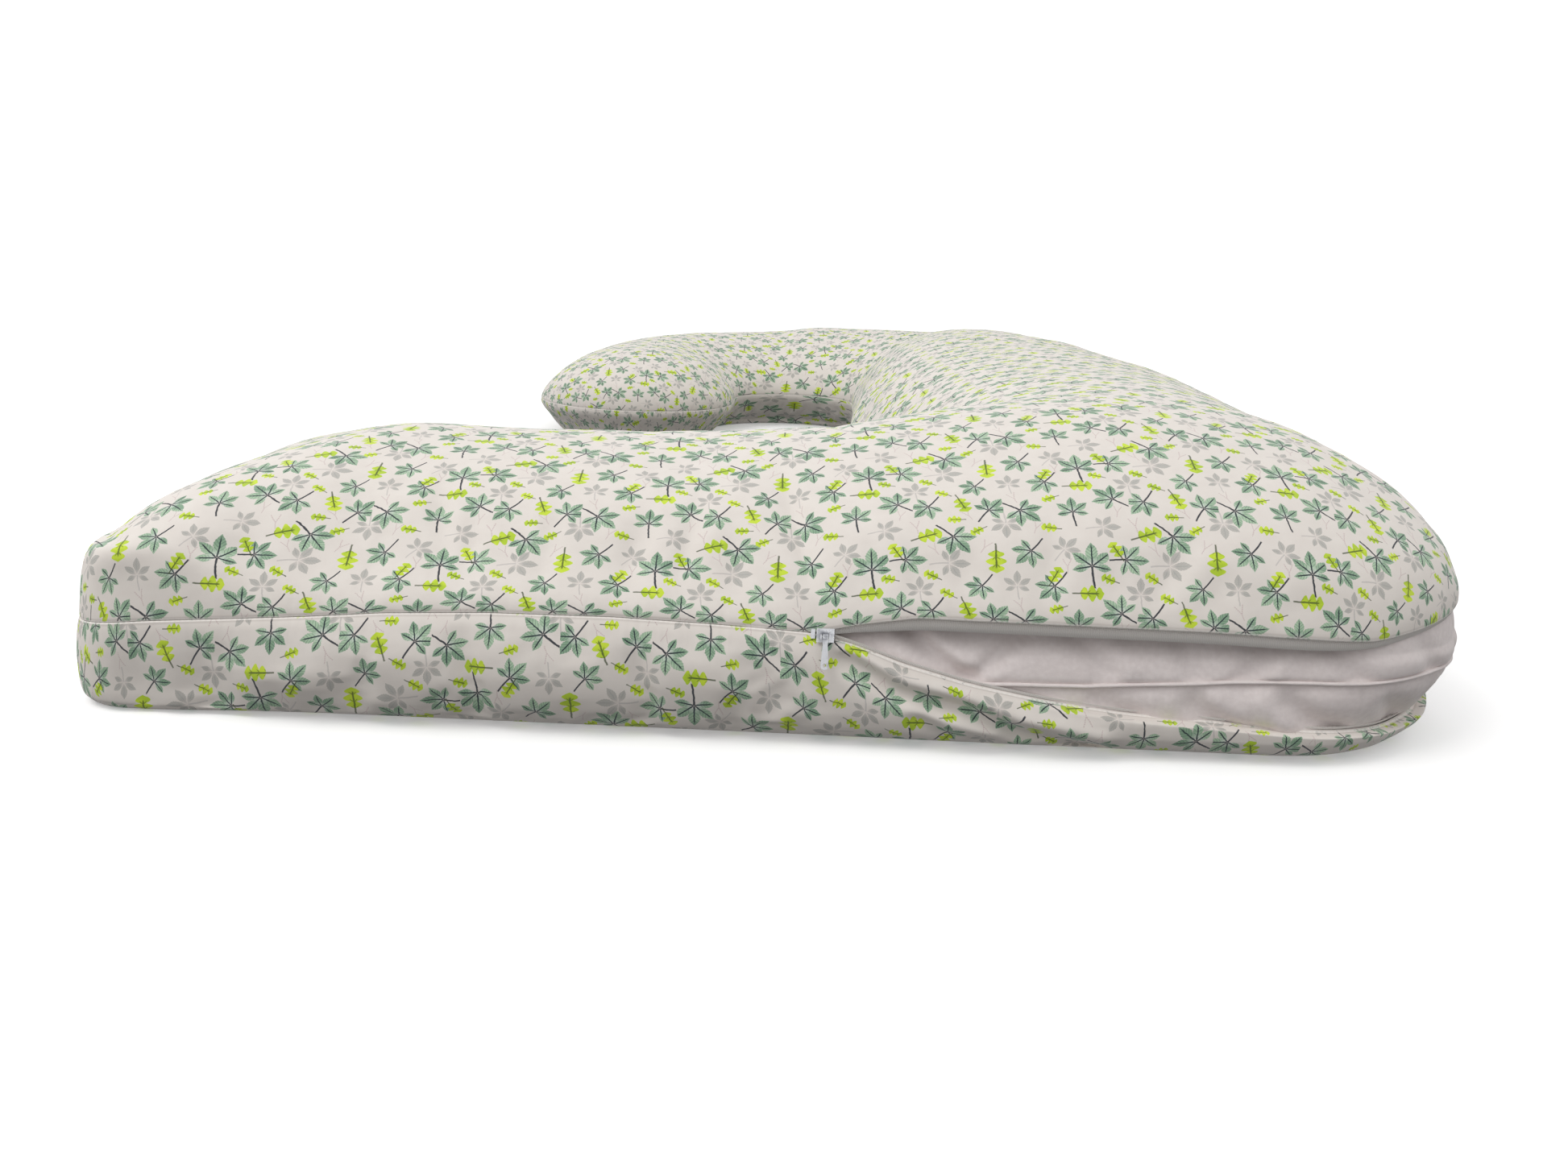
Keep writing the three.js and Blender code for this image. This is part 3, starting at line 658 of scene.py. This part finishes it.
# ---------------------------------------------------------------- cloth simulation
def puff(piece, held, cap, pressure=4.0, spare=0.03, frames=20):
    """Blows a panel out against its held points by cloth simulation, moving no point beyond cap mm."""
    pins = piece.vertex_groups.new(name="held")
    pins.add([int(i) for i in held], 1.0, "REPLACE")
    cloth = piece.modifiers.new("Cloth", "CLOTH")
    settings = cloth.settings
    settings.quality = 5
    settings.mass = 0.15
    settings.tension_stiffness = settings.compression_stiffness = 15
    settings.shear_stiffness = 5
    settings.bending_stiffness = 0.5
    settings.use_pressure = True
    settings.uniform_pressure_force = pressure
    settings.shrink_min = -spare
    settings.vertex_group_mass = "held"
    settings.effector_weights.gravity = 0
    cloth.collision_settings.use_collision = False
    cloth.point_cache.frame_start = 1
    cloth.point_cache.frame_end = frames
    count = len(piece.data.vertices)
    before, after = np.empty(count * 3), np.empty(count * 3)
    piece.data.vertices.foreach_get("co", before)
    for step in range(1, frames + 1):
        bpy.context.scene.frame_set(step)
    solved = piece.evaluated_get(bpy.context.evaluated_depsgraph_get())
    solved.data.vertices.foreach_get("co", after)
    piece.modifiers.remove(cloth)
    piece.vertex_groups.remove(pins)
    bpy.context.scene.frame_set(1)
    move = (after - before).reshape(-1, 3)
    size = np.linalg.norm(move, axis=1, keepdims=True)
    move = move * (cap * MM * np.tanh(size / (cap * MM)) / np.maximum(size, 1e-9))
    move *= smooth((AWAY[piece.name][:, None] + 3) / 40)
    piece.data.vertices.foreach_set("co", (before.reshape(-1, 3) + move).ravel())
    piece.data.update()


def refine(piece, levels=1, thickness=0.0):
    smoother = piece.modifiers.new("Subdivision", "SUBSURF")
    smoother.levels = smoother.render_levels = levels
    if thickness:
        cloth = piece.modifiers.new("Thickness", "SOLIDIFY")
        cloth.thickness = thickness * MM
        cloth.offset = -1
        cloth.material_offset = 1


# ---------------------------------------------------------------- camera, light, floor
def camera():
    data = bpy.data.cameras.new("camera")
    data.sensor_width = SENSOR_WIDTH
    data.lens = CAMERA["focal"] / PICTURE_WIDTH * SENSOR_WIDTH
    data.clip_end = 50
    eye = bpy.data.objects.new("camera", data)
    bpy.context.collection.objects.link(eye)
    turn = Matrix.Rotation(math.radians(-CAMERA["yaw"]), 4, "Z")
    turn = turn @ Matrix.Rotation(math.radians(90 - CAMERA["down"]), 4, "X")
    turn = turn @ Matrix.Rotation(math.radians(CAMERA["roll"]), 4, "Z")
    eye.matrix_world = Matrix.Translation(Vector(CAMERA["place"]) * MM) @ turn
    bpy.context.scene.camera = eye


def area_light(name, place, target, size, power, colour):
    data = bpy.data.lights.new(name, "AREA")
    data.shape = "RECTANGLE"
    data.size, data.size_y = size
    data.energy = power
    data.color = colour
    lamp = bpy.data.objects.new(name, data)
    bpy.context.collection.objects.link(lamp)
    lamp.location = place
    lamp.rotation_euler = (Vector(target) - Vector(place)).to_track_quat("-Z", "Y").to_euler()


def studio():
    """White surroundings, brightest behind, one big soft light, and a white floor that throws no glow."""
    world = bpy.data.worlds.new("studio")
    world.use_nodes = True
    wires = Wires(world)
    x, y, z = wires.split(wires.node("TexCoord", "Generated"))
    side = wires.ramp(x, -0.8, 0.8, FRONT_GLOW * 1.6, FRONT_GLOW * 0.35)
    horizon = wires.ramp(y, -0.3, 0.3, side, BACK_GLOW)
    overhead = wires.ramp(z, 0.02, 0.7, horizon, SKY_GLOW)
    glow = wires.ramp(z, -0.09, -0.03, GROUND_GLOW, overhead)
    background = wires.nodes["Background"]
    wires.feed(background.inputs["Color"], (1, 1, 1, 1))
    wires.feed(background.inputs["Strength"], glow)
    bpy.context.scene.world = world
    bpy.context.scene.view_settings.view_transform = "Standard"
    area_light("key", (-1.6, -1.5, 2.6), (0, -0.2, 0), (1.6, 1.4), KEY_POWER, (1.0, 0.985, 0.97))
    bpy.ops.mesh.primitive_plane_add(size=40, location=(0, 0, -0.0005))
    floor = bpy.context.object
    floor.name = "floor"
    white, wires = new_material("floor_white", 0.9)
    wires.coat("Base Color", (0.95, 0.95, 0.95, 1))
    wires.coat("Emission Color", (1, 1, 1, 1))
    wires.coat("Emission Strength", 0.25)
    floor.data.materials.append(white)
    floor.visible_diffuse = False


# ---------------------------------------------------------------- shader building
def operator(operation, swapped=False):
    """A method that adds a math node for one of Python's operators."""
    def method(self, other):
        return self.wires.math(operation, *((other, self) if swapped else (self, other)))
    return method


class Signal:
    """A value inside a shader. Arithmetic with signals and numbers adds math nodes."""
    __add__, __radd__ = operator("ADD"), operator("ADD", True)
    __sub__, __rsub__ = operator("SUBTRACT"), operator("SUBTRACT", True)
    __mul__, __rmul__ = operator("MULTIPLY"), operator("MULTIPLY", True)
    __truediv__, __pow__ = operator("DIVIDE"), operator("POWER")

    def __init__(self, wires, socket):
        self.wires, self.socket = wires, socket

    def __abs__(self):
        return self.wires.math("ABSOLUTE", self)


class Wires:
    """Short calls that add shader nodes; every input is a signal, a number or a tuple."""

    def __init__(self, owner):
        self.tree = owner.node_tree
        self.nodes = owner.node_tree.nodes
        self.shader = self.nodes.get("Principled BSDF")

    def feed(self, socket, value):
        if isinstance(value, Signal):
            self.tree.links.new(value.socket, socket)
        elif value is not None:
            socket.default_value = value

    def coat(self, name, value):
        """Sets an input of the material's shader."""
        self.feed(self.shader.inputs[name], value)

    def node(self, kind, output=0, **settings):
        """A node that only needs settings; gives the named or numbered output."""
        node = self.nodes.new("ShaderNode" + kind)
        for name, value in settings.items():
            setattr(node, name, value)
        return Signal(self, node.outputs[output])

    def math(self, operation, *values):
        node = self.nodes.new("ShaderNodeMath")
        node.operation = operation
        for socket, value in zip(node.inputs, values):
            self.feed(socket, value)
        return Signal(self, node.outputs[0])

    def between(self, value, low, high):
        return self.math("MINIMUM", self.math("MAXIMUM", value, low), high)

    def zigzag(self, value):
        """Rises and falls between 0 and a half, turning at every half."""
        return self.math("PINGPONG", value, 0.5)

    def vector(self, operation, *values):
        node = self.nodes.new("ShaderNodeVectorMath")
        node.operation = operation
        for socket, value in zip(node.inputs, values):
            self.feed(socket, value)
        return Signal(self, node.outputs["Value" if operation == "LENGTH" else 0])

    def place(self, vector, turn, scale):
        node = self.nodes.new("ShaderNodeMapping")
        self.feed(node.inputs["Vector"], vector)
        node.inputs["Rotation"].default_value = (0, 0, turn)
        node.inputs["Scale"].default_value = scale
        return Signal(self, node.outputs[0])

    def split(self, vector):
        node = self.nodes.new("ShaderNodeSeparateXYZ")
        self.feed(node.inputs[0], vector)
        return [Signal(self, part) for part in node.outputs]

    def join(self, x, y, z=0.0):
        node = self.nodes.new("ShaderNodeCombineXYZ")
        for socket, value in zip(node.inputs, (x, y, z)):
            self.feed(socket, value)
        return Signal(self, node.outputs[0])

    def ramp(self, value, low, high, to_low=0.0, to_high=1.0, kind="SMOOTHSTEP"):
        node = self.nodes.new("ShaderNodeMapRange")
        node.interpolation_type = kind
        names = ("Value", "From Min", "From Max", "To Min", "To Max")
        for name, given in zip(names, (value, low, high, to_low, to_high)):
            self.feed(node.inputs[name], given)
        return Signal(self, node.outputs[0])

    def blend(self, share, a, b, kind="RGBA"):
        node = self.nodes.new("ShaderNodeMix")
        node.data_type = kind
        first, output = {"RGBA": (6, 2), "VECTOR": (4, 1), "FLOAT": (2, 0)}[kind]
        self.feed(node.inputs[0], share)
        self.feed(node.inputs[first], a)
        self.feed(node.inputs[first + 1], b)
        return Signal(self, node.outputs[output])

    def noise(self, vector, scale, detail=2.0, rough=0.5):
        node = self.nodes.new("ShaderNodeTexNoise")
        self.feed(node.inputs["Vector"], vector)
        for name, given in (("Scale", scale), ("Detail", detail), ("Roughness", rough)):
            node.inputs[name].default_value = given
        return Signal(self, node.outputs[0])

    def uv(self, layer="cloth"):
        return self.node("UVMap", uv_map=layer)

    def solid_place(self):
        return self.node("TexCoord", "Object")

    def bump(self, height, distance, strength=1.0, normal=None):
        node = self.nodes.new("ShaderNodeBump")
        self.feed(node.inputs["Height"], height)
        node.inputs["Distance"].default_value = distance
        node.inputs["Strength"].default_value = strength
        self.feed(node.inputs["Normal"], normal)
        return Signal(self, node.outputs[0])


def srgb(red, green, blue):
    """A linear colour from everyday 0 to 255 values."""
    values = [c / 255 for c in (red, green, blue)]
    linear = [c / 12.92 if c <= 0.04045 else ((c + 0.055) / 1.055) ** 2.4 for c in values]
    return (*linear, 1.0)


def new_material(name, roughness, sheen=0.0, metallic=0.0):
    material = bpy.data.materials.new(name)
    material.use_nodes = True
    wires = Wires(material)
    wires.coat("Roughness", roughness)
    wires.coat("Metallic", metallic)
    wires.coat("Sheen Weight", sheen)
    wires.coat("Sheen Roughness", 0.5)
    return material, wires


# ---------------------------------------------------------------- the leaf print
# One repeat of the print is TILE across and along. Each motif: place in the repeat, the way its
# stem points in degrees, and its reach as a share of the repeat's width.
TILE = (0.1115, 0.070)
GREEN_LEAVES = [
    (0.0, 0.915, 45, 0.1), (0.105, 0.559, -90, 0.1), (0.3, 0.69, -40, 0.11), (0.441, 0.661, 50, 0.105),
    (0.669, 0.903, 45, 0.088), (0.719, 0.603, -130, 0.105),
    (0.862, 0.595, 140, 0.118), (0.169, 0.065, -90, 0.122),
    (0.323, 0.123, 178, 0.105), (0.546, 0.331, 130, 0.118), (0.896, 0.202, 45, 0.1),
]
GREY_LEAVES = [
    (0.387, 0.845, -90, 0.086), (0.23, 0.405, 180, 0.086), (0.05, 0.214, -135, 0.082),
    (0.523, 0.09, 180, 0.1), (0.791, 0.463, 90, 0.092), (0.828, 0.903, -90, 0.08),
]
LIME_SPRIGS = [
    (0.146, 0.85, 180, 0.072), (0.423, 0.331, -160, 0.076), (0.595, 0.7, 110, 0.07), (0.737, 0.141, 90, 0.08),
    (0.0, 0.99, -120, 0.056), (0.287, 0.185, -60, 0.056),
    (0.253, 0.962, -20, 0.044), (0.45, 0.976, -30, 0.046),
    (0.014, 0.72, 20, 0.044), (0.519, 0.815, -30, 0.044), (0.569, 0.507, 0, 0.044), (0.0, 0.41, -10, 0.048),
    (0.667, 0.397, 30, 0.044),
]
TWIGS = [
    (0.38, 0.43, -80, 0.05), (0.46, 0.21, -60, 0.04), (0.69, 0.24, -120, 0.045), (0.06, 0.08, -90, 0.045),
    (0.84, 0.74, -70, 0.045), (0.31, 0.56, -100, 0.04), (0.62, 0.56, -60, 0.045), (0.93, 0.42, -110, 0.045),
]


def nearest_motif(wires, cloth, motifs):
    """The place inside whichever motif is nearest: its stem runs along -X and its reach is 1."""
    best, best_distance = None, None
    for u, v, stem, reach in motifs:
        offset = wires.vector("SUBTRACT", cloth, (u - 0.5, v - 0.5, 0.0))
        wrapped = wires.vector("SUBTRACT", wires.vector("FRACTION", offset), (0.5, 0.5, 0.0))
        scale = (1 / reach, TILE[1] / TILE[0] / reach, 0.0)
        spun = wires.place(wrapped, math.radians(180 - stem), scale)
        distance = wires.vector("LENGTH", spun)
        if best is None:
            best, best_distance = spun, distance
        else:
            closer = wires.math("LESS_THAN", distance, best_distance)
            best = wires.blend(closer, best, spun, "VECTOR")
            best_distance = wires.math("MINIMUM", distance, best_distance)
    return best, best_distance


def palmate_leaf(wires, spot, distance, wide, fan):
    """Five toothed leaflets fanned from the stem: masks for the blade, its veins, the stem and midribs."""
    x, y, _ = wires.split(spot)
    angle = wires.math("ARCTAN2", y, x)
    spread = math.radians(fan)
    number = wires.math("ROUND", angle / spread)
    number = wires.between(number, -2.0, 2.0)
    turned = angle - number * spread
    along = distance * wires.math("COSINE", turned)
    across = abs(distance * wires.math("SINE", turned))
    order = abs(number)
    length = 1.04 - order ** 1.5 * 0.10
    share = along / length
    inside = wires.between(share, 0.0, 1.0)
    lobe = wires.math("SINE", inside ** 1.2 * math.pi)
    lobe = lobe * wires.ramp(inside, 0.6, 1.0, 1.0, 0.85)
    teeth = wires.zigzag(share * 9.0)
    edge = lobe * (wide + teeth * 0.055)
    edge = edge * length
    depth = edge - across
    front = wires.math("GREATER_THAN", share, 0.02)
    blade = wires.ramp(depth, 0.0, 0.025) * front
    taper = inside * 0.012
    rib_edge = 0.044 - taper
    midrib = wires.ramp(across, 0.014, rib_edge, 1.0, 0.0) * wires.ramp(share, 0.7, 0.95, 1.0, 0.0)
    slant = share - across * 0.9
    rib = wires.zigzag(slant * 7.0)
    ribs = wires.ramp(rib, 0.02, 0.17, 1.0, 0.0) * wires.ramp(depth, 0.0, 0.06)
    veins = wires.math("MAXIMUM", midrib, ribs * 0.62) * blade
    midrib = midrib * front
    bend = x * x * 0.12
    off_stem = abs(y + bend)
    stem = wires.ramp(off_stem, 0.026, 0.052, 1.0, 0.0) * wires.math("LESS_THAN", x, 0.0)
    stem = stem * wires.ramp(x, -0.92, -0.86)
    rim = wires.ramp(depth, 0.0, 0.05, 1.0, 0.0) * blade
    return {"blade": blade, "veins": veins, "stem": stem, "midrib": midrib, "rim": rim, "share": inside}


def lobed_sprig(wires, spot):
    """A small oak-like leaf along X with three pairs of lobes: masks for the blade, and its stem and ribs."""
    x, y, _ = wires.split(spot)
    along = wires.between(wires.ramp(x, -0.5, 1.05, kind="LINEAR"), 0.0, 1.0)
    outline = wires.math("SINE", along * math.pi) ** 0.4
    lobes = abs(wires.math("SINE", along * (3.0 * math.pi)))
    edge = outline * (0.20 + lobes * 0.42)
    off = abs(y)
    blade = wires.ramp(edge - off, 0.0, 0.06)
    rib = wires.ramp(off, 0.025, 0.08, 1.0, 0.0) * wires.ramp(x, -1.0, -0.95)
    side = wires.zigzag((x - off) * 1.95 + 0.1)
    side = wires.ramp(side, 0.03, 0.12, 1.0, 0.0) * wires.ramp(off, 0.16, 0.26, 1.0, 0.0)
    side = side * blade
    rib = wires.math("MAXIMUM", rib, side * 0.8) * wires.ramp(x, 0.6, 0.8, 1.0, 0.0)
    return blade, rib


def twig(wires, spot):
    """A faint forked twig with a few seed heads."""
    x, y, _ = wires.split(spot)
    fork = wires.math("MAXIMUM", x + 0.2, 0.0) * 0.45
    off = abs(abs(y) - fork)
    lines = wires.ramp(off, 0.02, 0.09, 1.0, 0.0)
    lines = lines * wires.ramp(wires.vector("LENGTH", spot), 0.85, 1.0, 1.0, 0.0)
    beads = wires.zigzag(x * 5.0)
    return lines * wires.ramp(beads, 0.1, 0.4, 0.35, 1.0)


THREAD_PITCH = 0.0006


def weave(wires, place):
    """Over-and-under threads, as a height from -0.5 to 0.5."""
    scaled = wires.vector("MULTIPLY", place, (1 / THREAD_PITCH, 1 / THREAD_PITCH, 0.0))
    x, y, _ = wires.split(scaled)
    warp = wires.math("SINE", x * (2 * math.pi))
    weft = wires.math("SINE", y * (2 * math.pi))
    return warp * weft * 0.5


def seam_place(wires):
    """Distance along the seam and distance from it, in metres."""
    along, away, _ = wires.split(wires.uv("seam"))
    return along, away


def cloth_bump(wires, cloth, puckers):
    """Threads, slubs, small creases, and puckers that fade away from a seam."""
    normal = wires.bump(weave(wires, cloth), 0.00004, 0.3)
    normal = wires.bump(wires.noise(cloth, 260.0, 3.0), 0.0002, 0.3, normal)
    normal = wires.bump(wires.noise(cloth, 30.0, 3.0, 0.55), 0.0022, 0.35, normal)
    normal = wires.bump(wires.noise(cloth, 9.0, 2.0, 0.5), 0.006, 0.35, normal)
    along, away = seam_place(wires)
    place = wires.join(along * 95.0, away * 16.0)
    near = wires.ramp(abs(away), 0.002, 0.030, 1.0, 0.0)
    patchy = wires.ramp(wires.noise(wires.join(along, 0.0), 9.0, 1.0), 0.35, 0.65, 0.25, 1.0)
    strength = near * patchy
    height = wires.noise(place, 1.0, 2.0) * strength
    return wires.bump(height, puckers, 0.8, normal)


def shaded_by_seam(wires, colour):
    """A pale stitched line at the very edge and a little shade beside it, with a dot at each stitch."""
    along, away = seam_place(wires)
    colour = wires.blend(wires.ramp(away, -0.0012, -0.0004, 1.0, 0.0), colour, srgb(232, 225, 219))
    away = abs(away)
    # painted shade: a darker brown-grey band in the groove on both sides of the seam line
    groove_shade = wires.ramp(away, 0.0007, 0.0011) * wires.ramp(away, 0.0011, 0.0024, 0.22, 0.0)
    colour = wires.blend(groove_shade, colour, srgb(130, 116, 110))
    stitch = wires.zigzag(along * 380.0)
    thread = wires.ramp(away, 0.0005, 0.0009, 0.85, 0.0) * wires.ramp(stitch, 0.1, 0.4, 0.6, 1.0)
    return wires.blend(thread, colour, srgb(240, 235, 230))


def printed_cotton(name, front, start, turned, under=False):
    """Pinkish cream cotton with the leaf print, which starts at a given place in its repeat at the front."""
    material, wires = new_material(name, 0.82, 0.18)
    cloth = wires.uv()
    way = -1.0 if turned else 1.0
    laid = wires.vector("MULTIPLY", cloth, (way / TILE[0], 1 / TILE[1], 0.0))
    laid = wires.vector("ADD", laid, (start[0], start[1] - front * MM / TILE[1], 0.0))
    drift = wires.noise(cloth, 420.0, 2.0)
    drift = (drift - 0.5) * 0.008
    laid = wires.vector("ADD", laid, wires.join(drift, drift))
    mottle = wires.noise(cloth, 90.0, 3.0)
    ground = wires.blend(mottle, srgb(233, 227, 220), srgb(222, 214, 207))

    spot, _ = nearest_motif(wires, laid, TWIGS)
    colour = wires.blend(twig(wires, spot) * 0.5, ground, srgb(176, 140, 146))

    spot, distance = nearest_motif(wires, laid, GREY_LEAVES)
    leaf = palmate_leaf(wires, spot, distance, 0.2, 56)
    grey = wires.blend(leaf["veins"], srgb(178, 176, 170), srgb(158, 160, 156))
    grey = wires.blend(wires.ramp(distance, 0.05, 0.4, 0.8, 0.0), grey, srgb(222, 212, 206))
    colour = wires.blend(leaf["blade"] * 0.8, colour, grey)
    colour = wires.blend(leaf["stem"] * 0.5, colour, srgb(176, 172, 170))

    spot, distance = nearest_motif(wires, laid, GREEN_LEAVES)
    leaf = palmate_leaf(wires, spot, distance, 0.215, 50)
    tone = wires.noise(laid, 7.0, 3.0)
    green = wires.blend(wires.ramp(tone, 0.38, 0.62), srgb(132, 166, 137), srgb(172, 200, 170))
    green = wires.blend(wires.ramp(distance, 0.05, 0.45, 0.9, 0.0), green, srgb(222, 232, 222))
    green = wires.blend(leaf["rim"] * 0.3, green, srgb(92, 134, 110))
    green = wires.blend(leaf["veins"] * 0.95, green, srgb(40, 72, 66))
    colour = wires.blend(leaf["blade"] * 0.96, colour, green)
    dark = wires.math("MAXIMUM", leaf["stem"], leaf["midrib"] * 0.85)
    colour = wires.blend(dark * 0.96, colour, srgb(22, 32, 44))

    spot, _ = nearest_motif(wires, laid, LIME_SPRIGS)
    blade, rib = lobed_sprig(wires, spot)
    lime = wires.blend(wires.ramp(tone, 0.4, 0.6), srgb(176, 206, 14), srgb(204, 228, 40))
    colour = wires.blend(blade * 0.96, colour, lime)
    colour = wires.blend(rib * 0.85, colour, srgb(58, 74, 34))
    if under:
        colour = wires.blend(0.62, colour, srgb(206, 198, 192))

    threads = weave(wires, cloth) * 0.06
    shade = 1.0 + threads
    colour = wires.vector("MULTIPLY", colour, wires.join(shade, shade, shade))
    wires.coat("Base Color", shaded_by_seam(wires, colour))
    wires.coat("Normal", cloth_bump(wires, cloth, 0.0016))
    return material


def plain_cloth(name, colour, darker, puckers):
    """Undyed cloth with faint blotches and creases."""
    material, wires = new_material(name, 0.85, 0.2)
    cloth = wires.uv()
    mottle = wires.blend(0.5, wires.noise(cloth, 14.0, 3.0), wires.noise(cloth, 300.0, 2.0), "FLOAT")
    base = wires.blend(wires.ramp(mottle, 0.3, 0.7), srgb(*colour), srgb(*darker))
    wires.coat("Base Color", base)
    wires.coat("Normal", cloth_bump(wires, cloth, puckers))
    return material


def zip_tape_cloth():
    """White tape in a fine chevron weave."""
    material, wires = new_material("zip_tape_weave", 0.7, 0.1)
    x, y, _ = wires.split(wires.uv())
    chevron = wires.zigzag(y * 400.0)
    rows = wires.math("SINE", (x * 1400.0 + chevron) * 6.0)
    shade = wires.ramp(rows, -1.0, 1.0)
    wires.coat("Base Color", wires.blend(shade, srgb(236, 232, 227), srgb(216, 210, 205)))
    wires.coat("Normal", wires.bump(rows, 0.00008, 0.5))
    return material


def nylon(name, colour):
    material, wires = new_material(name, 0.42)
    grain = wires.noise(wires.solid_place(), 900.0, 2.0)
    wires.coat("Base Color", wires.blend(grain, srgb(*colour), srgb(*(c - 16 for c in colour))))
    wires.coat("Roughness", wires.ramp(grain, 0.2, 0.8, 0.35, 0.5))
    return material


def lacquered_metal(name):
    """Silvery white lacquer on cast zinc, worn a little darker along its scratches."""
    material, wires = new_material(name, 0.3, 0.0, 0.55)
    place = wires.solid_place()
    grain = wires.noise(place, 500.0, 3.0)
    wear = wires.ramp(wires.noise(place, 160.0, 4.0), 0.52, 0.7)
    base = wires.blend(grain, srgb(226, 227, 230), srgb(205, 207, 212))
    wires.coat("Base Color", wires.blend(wear, base, srgb(168, 170, 176)))
    wires.coat("Roughness", wires.ramp(grain, 0.2, 0.8, 0.24, 0.42))
    wires.coat("Normal", wires.bump(grain, 0.00003, 0.4))
    return material


def fibre_material():
    material, wires = new_material("fibre", 1.0, 0.3)
    place = wires.solid_place()
    strands = wires.noise(wires.vector("MULTIPLY", place, (1.0, 3.0, 1.0)), 240.0, 4.0, 0.7)
    wires.coat("Base Color", wires.blend(strands, srgb(250, 249, 246), srgb(228, 226, 222)))
    wires.coat("Normal", wires.bump(strands, 0.002, 0.7))
    return material


# ---------------------------------------------------------------- the pillow
camera()
studio()
count, held_rows = loop.count, HEM + 2
top, top_front = cover_top()
bottom, bottom_front = cover_bottom()
case_top, case_bottom, ridge_path = inner_case()
stuffing = filling()

puff(top, range(held_rows * count), cap=7.0)
floor_points = [v.index for v in bottom.data.vertices if v.co.z < 0.004 or v.index < held_rows * count]
row_starts = range(0, len(bottom.data.vertices) // count * count, count)
lip_points = [start + k for start in row_starts for k in np.flatnonzero(loop.zip)]
puff(bottom, set(floor_points) | set(lip_points), cap=5.0)

outward = np.column_stack([loop.normal, np.zeros(count)])
above = np.tile([0.0, 0.0, 1.0], (count, 1))
bead = [swell((a, 5, 0), 9.0, 0.35, 2.0) for a in loop.run]
ridge_path += outward * (0.9 + np.array(bead))[:, None]
ridge = tube("inner_case_ridge", ridge_path, outward, above, (1.7, 0.95), 10, True)

tape_upper, coil_upper = zip_side("upper", *upper_lip(), True)
lip_z = along_lip(LIP_HEIGHTS)
lip_out = wall_place(along_lip(LIP_LEANS), lip_z, loop.lip_tuck)
tape_lower, coil_lower = zip_side("lower", lip_z, lip_out, False)

top_print = printed_cotton("printed_cotton_top", top_front, (0.0, 0.56), False)
top_under = printed_cotton("printed_cotton_top_back", top_front, (0.0, 0.56), False, True)
bottom_print = printed_cotton("printed_cotton_bottom", bottom_front, (0.55, 0.447), True)
bottom_under = printed_cotton("printed_cotton_bottom_back", bottom_front, (0.55, 0.447), True, True)
case_cloth = plain_cloth("case_cloth", (234, 225, 223), (221, 211, 209), 0.0022)
tape_cloth = zip_tape_cloth()
coil_nylon = nylon("zip_coil_nylon", (232, 229, 224))
metal = lacquered_metal("zip_metal")

PIECES = (
    (top, "cover_top_panel", "printed_cotton", (top_print, top_under), 0.5),
    (bottom, "cover_bottom_panel", "printed_cotton", (bottom_print, bottom_under), 0.5),
    (case_top, "inner_case_top_panel", "case_cloth", (case_cloth,), 0.0),
    (case_bottom, "inner_case_bottom_panel", "case_cloth", (case_cloth,), 0.0),
    (ridge, "inner_case_seam", "case_cloth", (case_cloth,), None),
    (stuffing, "fibre_filling", "fibre", (fibre_material(),), None),
    (tape_upper, "zip_tape_upper", "zip_tape", (tape_cloth,), None),
    (tape_lower, "zip_tape_lower", "zip_tape", (tape_cloth,), None),
    (coil_upper, "zip_coil_upper", "zip_coil", (coil_nylon,), None),
    (coil_lower, "zip_coil_lower", "zip_coil", (coil_nylon,), None),
)
for piece, node, slot, coats, thickness in PIECES:
    for coat in coats:
        piece.data.materials.append(coat)
    if thickness is not None:
        refine(piece, 1, thickness)
    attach(piece, "pillow")
    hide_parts(node)

for node in ("zip_slider", "zip_pull_tab", "zip_bottom_stop", "zip_top_stop_upper", "zip_top_stop_lower"):
    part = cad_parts[node]
    part.data.materials.clear()
    part.data.materials.append(metal)
    joined = part.modifiers.new("Weld", "WELD")
    joined.merge_threshold = 0.00001
    softened = part.modifiers.new("Bevel", "BEVEL")
    softened.width = 0.00022
    softened.segments = 3
    softened.limit_method = "ANGLE"
    softened.angle_limit = math.radians(40)
